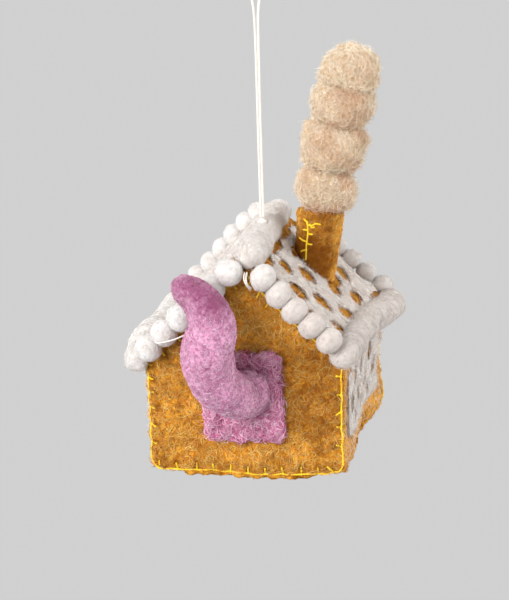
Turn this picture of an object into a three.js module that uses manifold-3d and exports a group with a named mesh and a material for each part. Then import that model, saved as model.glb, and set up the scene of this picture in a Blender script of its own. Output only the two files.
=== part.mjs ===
// Felt gingerbread-house ornament that hangs on a doubled cotton twine.
// Millimetres, +Z up, front wall towards -Y. The origin is the top inside of the twine's eye,
// where a twig or a hook holds the ornament. The house is built in its own group, from its base up.
import * as THREE from 'three';
import { mergeVertices } from 'three/addons/utils/BufferGeometryUtils.js';
import Module from 'manifold-3d';

const wasm = await Module();
wasm.setup();

// Walls, floor and roof of thick wool felt.
const wallWidth = 68;
const wallDepth = 72;
const eaveHeight = 42;
const roofRise = 32.5;
const feltThickness = 3;
const seamGap = 0.3;
const lowerCornerRadius = 4;
const floorProud = 0.8;
const floorCornerRadius = 5;
const roofSetback = 1;
const cutOverrun = 2;

// Soft wool rolls along the ridge and the eaves.
const ridgeRollRadius = 4.9;
const ridgeRollSeat = 0.4;
const ridgeRollAcross = 1;
const ridgeRollSway = 1.2;
const ridgeRollDip = 0.8;
const ridgeRollProud = 2.6;
const eaveRollRadius = 4.8;
const eaveRollReach = 0.8;
const eaveRollSink = 0.2;
const eaveRollSway = 1.4;
const eaveRollDip = 1.7;
const eaveRollOverrun = 4.6;
const rollSwellShare = 0.07;
const rollSwellPitch = 19;

// Felt beads sewn along the four rakes.
const frontBeadRadius = 4.5;
const frontBeadPitch = 7.7;
const backBeadRadius = 3.6;
const backBeadPitch = 6.9;
const frontLeftBeadRise = 1.4;
const frontRightBeadRise = 3.5;
const backBeadRise = 3.3;
const frontLeftBeadStart = 2.3;
const frontRightBeadStart = 6.4;
const backLeftBeadStart = 6;
const backRightBeadStart = 9.2;
const frontLeftBeadCount = 6;
const frontRightBeadCount = 5;
const backBeadCount = 6;

// White wool nets on the roof and on the side walls.
const netThickness = 1.7;
const netRidgeMargin = 5.9;
const netEaveMargin = 4.7;
const netRakeMargin = 2.6;
const netCornerRadius = 3;
const roofGapLength = 7.6;
const roofGapWidth = 7.8;
const roofGapRowPitch = 8.7;
const roofGapPitch = 16.3;
const roofGapShift = 5.7;
const netBand = 0.6;
const gapTipShare = 0.16;
const wallNetBottom = 11;
const wallNetTopMargin = 4.6;
const wallNetFront = 14;
const wallNetBack = 8;
const wallGapHeight = 8.6;
const wallGapWidth = 5;
const wallGapRowPitch = 7.6;
const wallGapPitch = 12.4;

// Rolled felt chimney, its yellow seam, and the wool plume.
const chimneyAcross = 16.6;
const chimneyBack = 12;
const chimneyHeight = 20.4;
const chimneyFootRadius = 7.4;
const chimneyRimRadius = 8.4;
const chimneyBoreRadius = 5;
const chimneyLean = THREE.MathUtils.degToRad(6.4);
const chimneySeamTurn = THREE.MathUtils.degToRad(-19);
const seamMargin = 2.4;
const seamLegPitch = 4.6;
const seamLegLength = 2.9;
const plumeLean = THREE.MathUtils.degToRad(13.4);
const puffRadius = 10.9;
const puffSeat = 8.8;
const puffPitch = 15;
const puffRadiusShares = [1, 1.07, 0.96, 0.89];
const puffFlatShare = 0.86;
const puffStemRadius = 4.4;
const puffStemDepth = 9;

// Door patch and the needle-felted limb that curls out of it.
const patchWidth = 28;
const patchHeight = 33;
const patchBottom = 13.6;
const patchThickness = 1.6;
const patchCornerRadius = 3;
const limbRadius = 9.3;
const limbStart = 18.6;
const limbReach = 20;
const limbSway = 18;
const limbRise = 42;

// The limb's centreline as shares of its sway, reach and rise, and its radius as a share of the widest.
const limbPathShares = [
  [0.08, 0.11, 0.0],
  [-0.02, 0.3, -0.01],
  [-0.09, 0.48, 0.015],
  [-0.28, 0.73, 0.115],
  [-0.42, 0.89, 0.25],
  [-0.45, 1.0, 0.48],
  [-0.33, 1.0, 0.71],
  [-0.46, 0.95, 0.89],
  [-0.76, 0.9, 0.985],
  [-1.04, 0.87, 1.0],
];
const limbRadiusShares = [0.72, 0.84, 0.9, 0.93, 0.97, 1.0, 0.88, 0.76, 0.58, 0.42];

// Yellow blanket stitch.
const stitchThread = 0.65;
const stitchInset = 0.7;
const stitchLeg = 2.5;
const stitchPitch = 6.2;

// Doubled cotton twine, its knot, and the stitch that holds the knot in the ridge roll.
const twineDiameter = 1;
const twineDrop = 92;
const anchorAcross = 1;
const anchorBack = -1.4;
const anchorDepth = 0.5;
const knotRadius = 1.1;
const stitchCupThickness = 0.8;
const cupRimAngle = THREE.MathUtils.degToRad(84);

// Half of the twine's route, from the knot up to the top of the eye: across and up, in millimetres.
const twineHalfRoute = [
  [0.65, -90.5],
  [0.65, -78],
  [0.65, -65],
  [0.65, -52],
  [0.65, -39],
  [0.65, -27],
  [0.85, -18],
  [1.7, -12],
  [3.0, -7.6],
  [3.5, -4.2],
  [2.5, -0.9],
];

// Counts of facets and rings.
const arcSteps = 2;
const rollSides = 12;
const rollRings = 22;
const limbRings = 18;
const beadSides = 10;
const beadRings = 7;
const puffSides = 14;
const puffRings = 10;
const chimneySides = 24;
const twineSides = 4;
const twineSteps = 72;
const ballSides = 16;
const ballRings = 10;

// Places that follow from the driving sizes.
const halfWidth = wallWidth / 2;
const halfDepth = wallDepth / 2;
const wallBase = feltThickness + seamGap;
const wallApex = eaveHeight + roofRise;
const roofAngle = Math.atan2(roofRise, halfWidth);
const steep = (thickness) => thickness / Math.cos(roofAngle);
const roofUnderside = wallApex + steep(seamGap);
const roofTop = roofUnderside + steep(feltThickness);
const roofRun = steep(halfWidth - roofSetback);
const topAt = (apex, across) => apex - Math.abs(across) * Math.tan(roofAngle);
const ridgeRollHeight = roofTop - ridgeRollSeat;
const anchorHeight = ridgeRollHeight + ridgeRollRadius - anchorDepth;

const colours = {
  felt: { color: 0xc08430, roughness: 0.95 },
  whiteWool: { color: 0xf0ece8, roughness: 0.95 },
  netWool: { color: 0xe6e0dc, roughness: 0.95 },
  limbWool: { color: 0xc887b6, roughness: 0.95 },
  patchWool: { color: 0xb4689a, roughness: 0.95 },
  plumeWool: { color: 0xe3cdb0, roughness: 1 },
  thread: { color: 0xf2d030, roughness: 0.7 },
  twine: { color: 0xf1ebe2, roughness: 0.85 },
  stuffing: { color: 0xf4f2ee, roughness: 1 },
};

function piece(name, geometry, finish) {
  const material = new THREE.MeshStandardMaterial({ ...colours[finish], metalness: 0 });
  const mesh = new THREE.Mesh(geometry, material);
  mesh.name = name;
  return mesh;
}

// A closed geometry as a solid that can be cut and joined.
function toSolid(geometry) {
  const bare = geometry.clone();
  bare.deleteAttribute('normal');
  bare.deleteAttribute('uv');
  const merged = mergeVertices(bare);
  return new wasm.Manifold(new wasm.Mesh({
    numProp: 3,
    vertProperties: new Float32Array(merged.attributes.position.array),
    triVerts: new Uint32Array(merged.index.array),
  }));
}

function toGeometry(solid) {
  const mesh = solid.getMesh();
  const geometry = new THREE.BufferGeometry();
  geometry.setAttribute('position', new THREE.BufferAttribute(mesh.vertProperties, mesh.numProp));
  geometry.setIndex(new THREE.BufferAttribute(mesh.triVerts, 1));
  geometry.computeVertexNormals();
  return geometry;
}

function cut(geometry, ...cutters) {
  let solid = toSolid(geometry);
  for (const cutter of cutters) {
    solid = solid.subtract(toSolid(cutter));
  }
  return toGeometry(solid);
}

function placed(geometry, group) {
  group.updateMatrix();
  return geometry.clone().applyMatrix4(group.matrix);
}

// A shape drawn across and up, carried through from front to back about y = 0.
function prism(shape, depth) {
  const geometry = new THREE.ExtrudeGeometry(shape, {
    depth,
    bevelEnabled: false,
    curveSegments: arcSteps,
  });
  geometry.translate(0, 0, -depth / 2);
  geometry.rotateX(Math.PI / 2);
  return geometry;
}

function polygon(points) {
  return new THREE.Shape(points.map(([across, up]) => new THREE.Vector2(across, up)));
}

function roundedRectangle(width, height, radius) {
  const right = width / 2;
  const top = height / 2;
  const shape = new THREE.Shape();
  shape.moveTo(radius - right, -top);
  shape.absarc(right - radius, radius - top, radius, -Math.PI / 2, 0, false);
  shape.absarc(right - radius, top - radius, radius, 0, Math.PI / 2, false);
  shape.absarc(radius - right, top - radius, radius, Math.PI / 2, Math.PI, false);
  shape.absarc(radius - right, radius - top, radius, Math.PI, Math.PI * 1.5, false);
  return shape;
}

// The gable wall's outline, drawn in by an inset.
function gableOutline(inset) {
  const side = halfWidth - inset;
  const base = wallBase + inset;
  const radius = Math.max(lowerCornerRadius - inset, seamGap);
  const apex = wallApex - steep(inset);
  const shape = new THREE.Shape();
  shape.moveTo(radius - side, base);
  shape.absarc(side - radius, base + radius, radius, -Math.PI / 2, 0, false);
  shape.lineTo(side, topAt(apex, side));
  shape.lineTo(0, apex);
  shape.lineTo(-side, topAt(apex, side));
  shape.absarc(radius - side, base + radius, radius, Math.PI, Math.PI * 1.5, false);
  return shape;
}

// Five plain corners: two walls of equal height under a pointed roof.
function gableBlock(side, base, apex) {
  const eave = topAt(apex, side);
  return polygon([[-side, base], [side, base], [side, eave], [0, apex], [-side, eave]]);
}

// The body of the house as one block, grown by a gap, to cut what lies against it.
function houseBlock(grow, growDepth) {
  const side = halfWidth + grow;
  const apex = wallApex + steep(grow);
  return prism(gableBlock(side, -grow, apex), wallDepth + 2 * growDepth);
}

// Rings round a curve, closed by a point at each end; the rings crowd towards the ends.
function sweptBody(curve, radiusAt, ringCount, sides) {
  const positions = [];
  const indices = [];
  const place = new THREE.Vector3();
  const ahead = new THREE.Vector3();
  const across = new THREE.Vector3(1, 0, 0);
  const aside = new THREE.Vector3();
  for (let ring = 0; ring <= ringCount; ring += 1) {
    const along = (1 - Math.cos(Math.PI * ring / ringCount)) / 2;
    curve.getPoint(along, place);
    curve.getTangent(along, ahead);
    across.addScaledVector(ahead, -across.dot(ahead)).normalize();
    aside.crossVectors(ahead, across);
    const pole = ring === 0 || ring === ringCount;
    const radius = pole ? 0 : radiusAt(along);
    for (let side = 0; side < (pole ? 1 : sides); side += 1) {
      const turn = 2 * Math.PI * side / sides;
      const point = place.clone();
      point.addScaledVector(across, radius * Math.cos(turn));
      point.addScaledVector(aside, radius * Math.sin(turn));
      positions.push(point.x, point.y, point.z);
    }
  }
  const last = positions.length / 3 - 1;
  for (let side = 0; side < sides; side += 1) {
    const next = (side + 1) % sides;
    indices.push(0, 1 + next, 1 + side);
    indices.push(last, last - sides + side, last - sides + next);
    for (let ring = 0; ring < ringCount - 2; ring += 1) {
      const near = 1 + ring * sides;
      const far = near + sides;
      indices.push(near + side, near + next, far + side);
      indices.push(near + next, far + next, far + side);
    }
  }
  const geometry = new THREE.BufferGeometry();
  geometry.setAttribute('position', new THREE.Float32BufferAttribute(positions, 3));
  geometry.setIndex(indices);
  geometry.computeVertexNormals();
  return geometry;
}

// A radius that rounds off like a ball within its own length of an end.
function roundedEnd(radius, distance) {
  if (distance >= radius) {
    return radius;
  }
  return Math.sqrt(radius * radius - (radius - distance) * (radius - distance));
}

// A roll of wool from front to back that swells and narrows along its length. Its front end is moved
// by the slant, and its back end as far the other way.
function woolRoll(centre, slant, radius, halfLength) {
  const front = new THREE.Vector3(centre.x + slant.x, -halfLength, centre.z + slant.z);
  const back = new THREE.Vector3(centre.x - slant.x, halfLength, centre.z - slant.z);
  const radiusAt = (along) => {
    const distance = 2 * halfLength * along;
    const swell = 1 + rollSwellShare * Math.cos(2 * Math.PI * distance / rollSwellPitch - Math.PI / 2);
    return roundedEnd(radius, Math.min(distance, 2 * halfLength - distance)) * swell;
  };
  return sweptBody(new THREE.LineCurve3(front, back), radiusAt, rollRings, rollSides);
}

function gablePanel(name) {
  return piece(name, prism(gableOutline(0), feltThickness), 'felt');
}

function sideWall(name) {
  const inner = halfWidth - feltThickness;
  const corners = [
    [inner, wallBase],
    [halfWidth, wallBase],
    [halfWidth, eaveHeight],
    [inner, topAt(wallApex, inner)],
  ];
  return piece(name, prism(polygon(corners), wallDepth - 2 * (feltThickness + seamGap)), 'felt');
}

function floorPanel() {
  const width = wallWidth + 2 * floorProud;
  const depth = wallDepth + 2 * floorProud;
  const shape = roundedRectangle(width, depth, floorCornerRadius);
  const geometry = new THREE.ExtrudeGeometry(shape, {
    depth: feltThickness,
    bevelEnabled: false,
    curveSegments: arcSteps,
  });
  return piece('floor_panel', geometry, 'felt');
}

function stuffing() {
  const side = halfWidth - feltThickness - seamGap;
  const base = wallBase + seamGap;
  const depth = wallDepth - 2 * (feltThickness + 2 * seamGap);
  return piece('stuffing', prism(gableBlock(side, base, wallApex), depth), 'stuffing');
}

// A roof felt in its own slope: x runs down the slope, z out of it. Its upper edge is mitred at the ridge.
function roofPanelShape(grow) {
  const ridge = steep(seamGap / 2 - grow);
  const mitre = feltThickness * Math.tan(roofAngle);
  const run = roofRun + grow;
  const outside = feltThickness + grow;
  return polygon([[ridge, -grow], [run, -grow], [run, outside], [ridge - mitre, outside]]);
}

function roofPanel(name) {
  return piece(name, prism(roofPanelShape(0), wallDepth), 'felt');
}

function slopeGroup(height) {
  const group = new THREE.Group();
  group.position.z = height;
  group.rotation.y = roofAngle;
  return group;
}

// A diamond gap with its tips taken off.
function diamond(x, y, length, width) {
  const halfLength = length / 2;
  const halfGap = width / 2;
  const tipLength = halfLength * gapTipShare;
  const tipWidth = halfGap * gapTipShare;
  const corners = [
    [halfLength - tipLength, tipWidth], [tipLength, halfGap - tipWidth],
    [-tipLength, halfGap - tipWidth], [tipLength - halfLength, tipWidth],
    [tipLength - halfLength, -tipWidth], [-tipLength, tipWidth - halfGap],
    [tipLength, tipWidth - halfGap], [halfLength - tipLength, -tipWidth],
  ];
  return new THREE.Path(corners.map(([across, up]) => new THREE.Vector2(x + across, y + up)));
}

// A net of staggered diamond gaps. Rows are counted along x, the gaps of a row lie along y.
function netGeometry(size, gap, shift) {
  const shape = roundedRectangle(size.length, size.width, netCornerRadius);
  const rows = Math.floor((size.length - gap.length - 2 * netBand) / gap.rowPitch) + 1;
  const firstRow = -gap.rowPitch * (rows - 1) / 2;
  const reach = (size.width - gap.width) / 2 - netBand;
  for (let row = 0; row < rows; row += 1) {
    const offset = shift + (row % 2) * gap.pitch / 2;
    const first = Math.ceil((-reach - offset) / gap.pitch);
    const last = Math.floor((reach - offset) / gap.pitch);
    for (let column = first; column <= last; column += 1) {
      const x = firstRow + row * gap.rowPitch;
      shape.holes.push(diamond(x, offset + column * gap.pitch, gap.length, gap.width));
    }
  }
  return new THREE.ExtrudeGeometry(shape, {
    depth: netThickness,
    bevelEnabled: false,
    curveSegments: arcSteps,
  });
}

// The roof net in the slope's own frame, x down the slope from the ridge line.
function roofNetGeometry() {
  const size = { length: roofRun - netRidgeMargin - netEaveMargin, width: wallDepth - 2 * netRakeMargin };
  const gap = {
    length: roofGapLength, width: roofGapWidth, rowPitch: roofGapRowPitch, pitch: roofGapPitch,
  };
  const geometry = netGeometry(size, gap, roofGapShift);
  geometry.translate(netRidgeMargin + size.length / 2, 0, feltThickness + seamGap);
  return geometry;
}

// The side wall's net, turned up so that its rows stack and it faces outwards.
function wallNet(name) {
  const height = eaveHeight - wallNetTopMargin - wallNetBottom;
  const size = { length: height, width: wallDepth - wallNetFront - wallNetBack };
  const gap = {
    length: wallGapHeight, width: wallGapWidth, rowPitch: wallGapRowPitch, pitch: wallGapPitch,
  };
  const geometry = netGeometry(size, gap, 0);
  geometry.rotateY(Math.PI / 2);
  const mesh = piece(name, geometry, 'netWool');
  mesh.position.set(halfWidth + seamGap, 0, wallNetBottom + height / 2);
  return mesh;
}

const ridgeCentre = new THREE.Vector3(ridgeRollAcross, 0, ridgeRollHeight);
const ridgeSlant = new THREE.Vector3(ridgeRollSway, 0, ridgeRollDip);
const eaveAlong = roofRun + eaveRollReach;
const eaveLift = feltThickness - eaveRollSink;
const eaveCentre = new THREE.Vector3(
  eaveAlong * Math.cos(roofAngle) + eaveLift * Math.sin(roofAngle),
  0,
  roofUnderside - eaveAlong * Math.sin(roofAngle) + eaveLift * Math.cos(roofAngle),
);
const eaveSlant = new THREE.Vector3(-eaveRollSway, 0, eaveRollDip);

// The roof felts as one grown block, to cut the rolls and the chimney where they sit on it.
function roofCutter(side, grow) {
  const group = slopeGroup(roofUnderside);
  const geometry = placed(prism(roofPanelShape(grow), wallDepth + 2 * grow), group);
  return side < 0 ? geometry.rotateZ(Math.PI) : geometry;
}

function ridgeRollSolid(grow) {
  return woolRoll(ridgeCentre, ridgeSlant, ridgeRollRadius + grow, halfDepth + ridgeRollProud + grow);
}

function eaveRollSolid(grow) {
  return woolRoll(eaveCentre, eaveSlant, eaveRollRadius + grow, halfDepth + eaveRollOverrun + grow);
}

function ballPocket() {
  const radius = knotRadius + 2 * seamGap + stitchCupThickness;
  const pocket = new THREE.SphereGeometry(radius, ballSides, ballRings);
  return pocket.translate(anchorAcross, anchorBack, anchorHeight);
}

function ridgeRoll() {
  const cutters = [
    houseBlock(seamGap, seamGap), roofCutter(1, seamGap), roofCutter(-1, seamGap), ballPocket(),
  ];
  return piece('ridge_roll', cut(ridgeRollSolid(0), ...cutters), 'whiteWool');
}

function eaveRoll(name) {
  const overStitch = 2 * seamGap + stitchThread;
  const geometry = cut(eaveRollSolid(0), houseBlock(seamGap, overStitch), roofCutter(1, seamGap));
  return piece(name, geometry, 'whiteWool');
}

// A row of beads down one rake. Beads are pressed together along the rake, so each is a little flat there.
function beadRow(rake) {
  const geometry = new THREE.SphereGeometry(rake.radius, beadSides, beadRings);
  geometry.scale((rake.pitch - seamGap) / (2 * rake.radius), 1, 1);
  const row = slopeGroup(roofUnderside);
  row.position.y = rake.end * (halfDepth + seamGap + rake.radius);
  const side = rake.left ? -1 : 1;
  row.rotation.y = side * roofAngle;
  const rolls = [ridgeRollSolid(seamGap), eaveRollSolid(seamGap), eaveRollSolid(seamGap).rotateZ(Math.PI)];
  row.updateMatrix();
  const inverse = row.matrix.clone().invert();
  const lift = feltThickness / 2 + rake.rise;
  for (let index = 0; index < rake.count; index += 1) {
    const across = side * (rake.start + index * rake.pitch);
    const outermost = index === 0 || index === rake.count - 1;
    const inRow = rolls.map((roll) => roll.clone().applyMatrix4(inverse));
    const cutters = inRow.map((roll) => roll.translate(-across, 0, -lift));
    const shape = outermost ? cut(geometry, ...cutters) : geometry;
    const bead = piece(`${rake.name}_bead_${index + 1}`, shape, 'whiteWool');
    bead.position.set(across, 0, lift);
    row.add(bead);
  }
  return row;
}

const rakes = [
  {
    name: 'front_left', left: true, end: -1, count: frontLeftBeadCount,
    radius: frontBeadRadius, pitch: frontBeadPitch, start: frontLeftBeadStart, rise: frontLeftBeadRise,
  },
  {
    name: 'front_right', left: false, end: -1, count: frontRightBeadCount,
    radius: frontBeadRadius, pitch: frontBeadPitch, start: frontRightBeadStart, rise: frontRightBeadRise,
  },
  {
    name: 'back_left', left: true, end: 1, count: backBeadCount,
    radius: backBeadRadius, pitch: backBeadPitch, start: backLeftBeadStart, rise: backBeadRise,
  },
  {
    name: 'back_right', left: false, end: 1, count: backBeadCount,
    radius: backBeadRadius, pitch: backBeadPitch, start: backRightBeadStart, rise: backBeadRise,
  },
];

// The chimney's own frame stands on the roof and leans; z runs up its axis.
function chimneyGroup() {
  const group = new THREE.Group();
  group.position.set(chimneyAcross, chimneyBack, topAt(roofTop, chimneyAcross));
  group.rotation.y = chimneyLean;
  return group;
}

const chimneyFoot = -chimneyRimRadius * Math.tan(roofAngle + chimneyLean) - cutOverrun;

function chimneyTube(grow) {
  const flare = (chimneyRimRadius - chimneyFootRadius) / chimneyHeight;
  const footRadius = chimneyFootRadius + flare * chimneyFoot + grow;
  const top = chimneyHeight + grow;
  const bore = chimneyBoreRadius - grow;
  const profile = [
    [bore, chimneyFoot],
    [footRadius, chimneyFoot],
    [chimneyRimRadius + grow, top],
    [bore, top],
    [bore, chimneyFoot],
  ];
  const geometry = new THREE.LatheGeometry(profile.map(([x, y]) => new THREE.Vector2(x, y)), chimneySides);
  return geometry.rotateX(Math.PI / 2);
}

function chimneyCore(grow) {
  const length = chimneyHeight - chimneyFoot;
  const geometry = new THREE.CylinderGeometry(
    chimneyRimRadius + grow, chimneyFootRadius + grow, length, chimneySides,
  );
  geometry.rotateX(Math.PI / 2);
  return geometry.translate(0, 0, chimneyFoot + length / 2);
}

// Everything below the roof's top surface on the right slope, plus a gap.
function slopeCutter(lift) {
  const reach = roofRun + cutOverrun;
  const deep = reach * Math.sin(roofAngle);
  const slab = polygon([[-reach, -deep], [reach, -deep], [reach, lift], [-reach, lift]]);
  return placed(prism(slab, wallDepth), slopeGroup(roofTop));
}

function chimney() {
  const tube = placed(chimneyTube(0), chimneyGroup());
  return piece('chimney_tube', cut(tube, slopeCutter(seamGap)), 'felt');
}

// The yellow seam up the chimney: a comb of thread wrapped on the tube's outside.
function chimneySeam() {
  const reach = chimneyRimRadius + cutOverrun;
  const netTop = steep(netThickness + 2 * seamGap);
  const seamUphill = chimneyRimRadius * Math.abs(Math.sin(chimneySeamTurn));
  const seamBase = netTop + seamUphill * Math.tan(roofAngle + chimneyLean);
  const seamTop = chimneyHeight - seamMargin;
  const bars = [bar(0, (seamBase + seamTop) / 2, stitchThread, seamTop - seamBase, reach)];
  const legs = Math.floor((seamTop - seamBase) / seamLegPitch);
  for (let leg = 0; leg <= legs; leg += 1) {
    const legHeight = seamTop - leg * seamLegPitch - stitchThread / 2;
    bars.push(bar(0, legHeight, 2 * seamLegLength, stitchThread, reach));
  }
  let comb = toSolid(bars[0]);
  for (const extra of bars.slice(1)) {
    comb = comb.add(toSolid(extra));
  }
  const outer = toSolid(chimneyCore(seamGap + stitchThread));
  const wrapped = toGeometry(comb.intersect(outer).subtract(toSolid(chimneyCore(seamGap))));
  wrapped.rotateZ(chimneySeamTurn);
  const inPlace = placed(wrapped, chimneyGroup());
  return piece('chimney_seam_stitch', cut(inPlace, slopeCutter(netThickness + 2 * seamGap)), 'thread');
}

// A flat bar of thread in front of y = 0.
function bar(across, up, width, height, depth) {
  const geometry = new THREE.BoxGeometry(width, depth, height);
  return geometry.translate(across, -depth / 2, up);
}

function roofNet(name, aroundChimney) {
  const group = slopeGroup(roofUnderside);
  let geometry = placed(roofNetGeometry(), group);
  geometry = cut(geometry, eaveRollSolid(seamGap));
  if (aroundChimney) {
    geometry = cut(geometry, placed(chimneyCore(seamGap), chimneyGroup()));
  }
  return piece(name, geometry, 'netWool');
}

// Four puffs of wool, each pressed into the one below, on a stem in the chimney.
function plume() {
  const group = new THREE.Group();
  const stand = chimneyGroup();
  stand.updateMatrix();
  const rim = new THREE.Vector3(0, 0, chimneyHeight).applyMatrix4(stand.matrix);
  const rise = new THREE.Vector3(Math.sin(plumeLean), 0, Math.cos(plumeLean));
  const balls = puffRadiusShares.map((share, index) => {
    const centre = rim.clone().addScaledVector(rise, puffSeat + index * puffPitch);
    return { centre, radius: puffRadius * share };
  });
  const ball = ({ centre, radius }, grow) => {
    const geometry = new THREE.SphereGeometry(radius + grow, puffSides, puffRings);
    geometry.rotateX(Math.PI / 2);
    geometry.scale(1, 1, puffFlatShare);
    return geometry.rotateY(plumeLean).translate(centre.x, centre.y, centre.z);
  };
  const stemLength = puffStemDepth + puffSeat;
  const stem = new THREE.CylinderGeometry(puffStemRadius, puffStemRadius, stemLength, ballSides);
  stem.rotateX(Math.PI / 2).translate(0, 0, chimneyHeight - puffStemDepth + stemLength / 2);
  balls.forEach((here, index) => {
    let solid = toSolid(ball(here, 0));
    if (index === 0) {
      solid = solid.add(toSolid(placed(stem, stand)));
      solid = solid.subtract(toSolid(placed(chimneyTube(seamGap), stand)));
    }
    for (const [other, neighbour] of balls.entries()) {
      const larger = neighbour.radius > here.radius;
      if (Math.abs(other - index) === 1 && larger) {
        solid = solid.subtract(toSolid(ball(neighbour, seamGap)));
      }
    }
    group.add(piece(`smoke_puff_${index + 1}`, toGeometry(solid), 'plumeWool'));
  });
  return group;
}

function doorPatch() {
  const shape = roundedRectangle(patchWidth, patchHeight, patchCornerRadius);
  const mesh = piece('door_patch', prism(shape, patchThickness), 'patchWool');
  mesh.position.set(0, -halfDepth - seamGap - patchThickness / 2, patchBottom + patchHeight / 2);
  return mesh;
}

// The limb comes out of the patch, swells, turns up and tapers to a bent tip.
function limb() {
  const patchFace = -halfDepth - 2 * seamGap - patchThickness;
  const points = limbPathShares.map(([across, out, up]) => new THREE.Vector3(
    across * limbSway,
    -halfDepth - out * limbReach,
    patchBottom + limbStart + up * limbRise,
  ));
  const curve = new THREE.CatmullRomCurve3(points);
  const tipLength = limbRadius * limbRadiusShares.at(-1);
  const length = curve.getLength();
  const radiusAt = (along) => {
    const spot = along * (limbRadiusShares.length - 1);
    const index = Math.min(Math.floor(spot), limbRadiusShares.length - 2);
    const share = THREE.MathUtils.lerp(limbRadiusShares[index], limbRadiusShares[index + 1], spot - index);
    const toTip = (1 - along) * length;
    return limbRadius * share * roundedEnd(tipLength, toTip) / tipLength;
  };
  const body = sweptBody(curve, radiusAt, limbRings, rollSides);
  const depth = limbRadius + limbReach;
  const wallSlab = new THREE.BoxGeometry(wallWidth, depth, eaveHeight + limbRise);
  wallSlab.translate(0, patchFace + depth / 2, patchBottom + limbStart);
  return piece('limb', cut(body, wallSlab), 'limbWool');
}

// Blanket stitch on a gable wall: a thread round the edge, with short legs on the bottom and the sides.
function blanketStitch(name) {
  const edge = gableOutline(stitchInset);
  edge.holes.push(new THREE.Path(gableOutline(stitchInset + stitchThread).getPoints(arcSteps)));
  let solid = toSolid(prism(edge, stitchThread));
  const legInset = stitchInset + stitchLeg / 2;
  const addLeg = (across, up, width, height) => {
    const leg = bar(across, up, width, height, stitchThread);
    solid = solid.add(toSolid(leg.translate(0, stitchThread / 2, 0)));
  };
  const bottomRun = wallWidth - 2 * lowerCornerRadius;
  const bottomLegs = Math.floor(bottomRun / stitchPitch);
  for (let leg = 0; leg <= bottomLegs; leg += 1) {
    const across = (leg - bottomLegs / 2) * stitchPitch;
    addLeg(across, wallBase + legInset, stitchThread, stitchLeg);
  }
  const sideLegs = Math.floor((eaveHeight - wallBase - lowerCornerRadius) / stitchPitch);
  for (let leg = 0; leg < sideLegs; leg += 1) {
    const up = wallBase + lowerCornerRadius + (leg + 1 / 2) * stitchPitch;
    addLeg(halfWidth - legInset, up, stitchLeg, stitchThread);
    addLeg(legInset - halfWidth, up, stitchLeg, stitchThread);
  }
  return piece(name, toGeometry(solid), 'thread');
}

// The twine runs up from the knot, round an open eye, and down again: one tube with open-air ends.
function hangingLoop() {
  const halves = twineHalfRoute.map(([across, up]) => new THREE.Vector3(across, 0, up));
  const top = new THREE.Vector3(0, 0, twineDiameter / 2);
  const mirrored = halves.map((point) => new THREE.Vector3(-point.x, 0, point.z)).reverse();
  const route = new THREE.CatmullRomCurve3([...halves, top, ...mirrored]);
  const section = new THREE.Shape();
  section.absarc(0, 0, twineDiameter / 2, 0, 2 * Math.PI, false);
  const geometry = new THREE.ExtrudeGeometry(section, {
    steps: twineSteps,
    extrudePath: route,
    curveSegments: twineSides,
  });
  return piece('hanging_loop', geometry, 'twine');
}

function hangerKnot() {
  const geometry = new THREE.SphereGeometry(knotRadius, ballSides, ballRings);
  return piece('hanger_knot', geometry.rotateX(Math.PI / 2), 'twine');
}

// The stitch that cradles the knot: a ball-shaped cup, open above so that the twine can lean.
function anchorStitch() {
  const inner = knotRadius + seamGap;
  const outer = inner + stitchCupThickness;
  const profile = [];
  for (let step = 0; step <= ballRings; step += 1) {
    const polar = THREE.MathUtils.lerp(Math.PI, cupRimAngle, step / ballRings);
    profile.push(new THREE.Vector2(outer * Math.sin(polar), outer * Math.cos(polar)));
  }
  for (let step = 0; step <= ballRings; step += 1) {
    const polar = THREE.MathUtils.lerp(cupRimAngle, Math.PI, step / ballRings);
    profile.push(new THREE.Vector2(inner * Math.sin(polar), inner * Math.cos(polar)));
  }
  profile[0].x = 0;
  profile.at(-1).x = 0;
  const geometry = new THREE.LatheGeometry(profile, ballSides).rotateX(Math.PI / 2);
  return piece('anchor_stitch', geometry, 'twine');
}

// One side of the house: its wall, roof felt, nets and eave roll. The left side is the right one
// turned round.
function houseSide(side, turn, aroundChimney) {
  const group = new THREE.Group();
  group.rotation.z = turn;
  const slope = slopeGroup(roofUnderside);
  slope.add(roofPanel(`${side}_roof_panel`));
  group.add(slope);
  group.add(sideWall(`${side}_wall`));
  group.add(roofNet(`${side}_roof_net`, aroundChimney));
  group.add(wallNet(`${side}_wall_net`));
  group.add(eaveRoll(`${side}_eave_roll`));
  return group;
}

function house() {
  const group = new THREE.Group();
  const front = gablePanel('front_panel');
  front.position.y = feltThickness / 2 - halfDepth;
  const back = gablePanel('back_panel');
  back.position.y = halfDepth - feltThickness / 2;
  const frontStitch = blanketStitch('front_blanket_stitch');
  frontStitch.position.y = -halfDepth - seamGap - stitchThread / 2;
  const backStitch = blanketStitch('back_blanket_stitch');
  backStitch.position.y = halfDepth + seamGap + stitchThread / 2;
  group.add(front, back, frontStitch, backStitch, floorPanel(), stuffing());
  group.add(houseSide('right', 0, true), houseSide('left', Math.PI, false));
  group.add(ridgeRoll());
  for (const rake of rakes) {
    group.add(beadRow(rake));
  }
  group.add(chimney(), chimneySeam(), plume());
  group.add(doorPatch(), limb());
  return group;
}

function ornament() {
  const group = new THREE.Group();
  const knot = hangerKnot();
  const stitch = anchorStitch();
  knot.position.z = -twineDrop;
  stitch.position.z = -twineDrop;
  const hung = house();
  hung.position.set(-anchorAcross, -anchorBack, -twineDrop - anchorHeight);
  group.add(hangingLoop(), knot, stitch, hung);
  return group;
}

const group = ornament();
export default group;
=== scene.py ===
"""Felt gingerbread-house ornament on a doubled cotton twine, dressed around its CAD frame.

Metres, +Z up. Tables that give millimetres say so.
"""

import math
from collections import namedtuple

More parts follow.
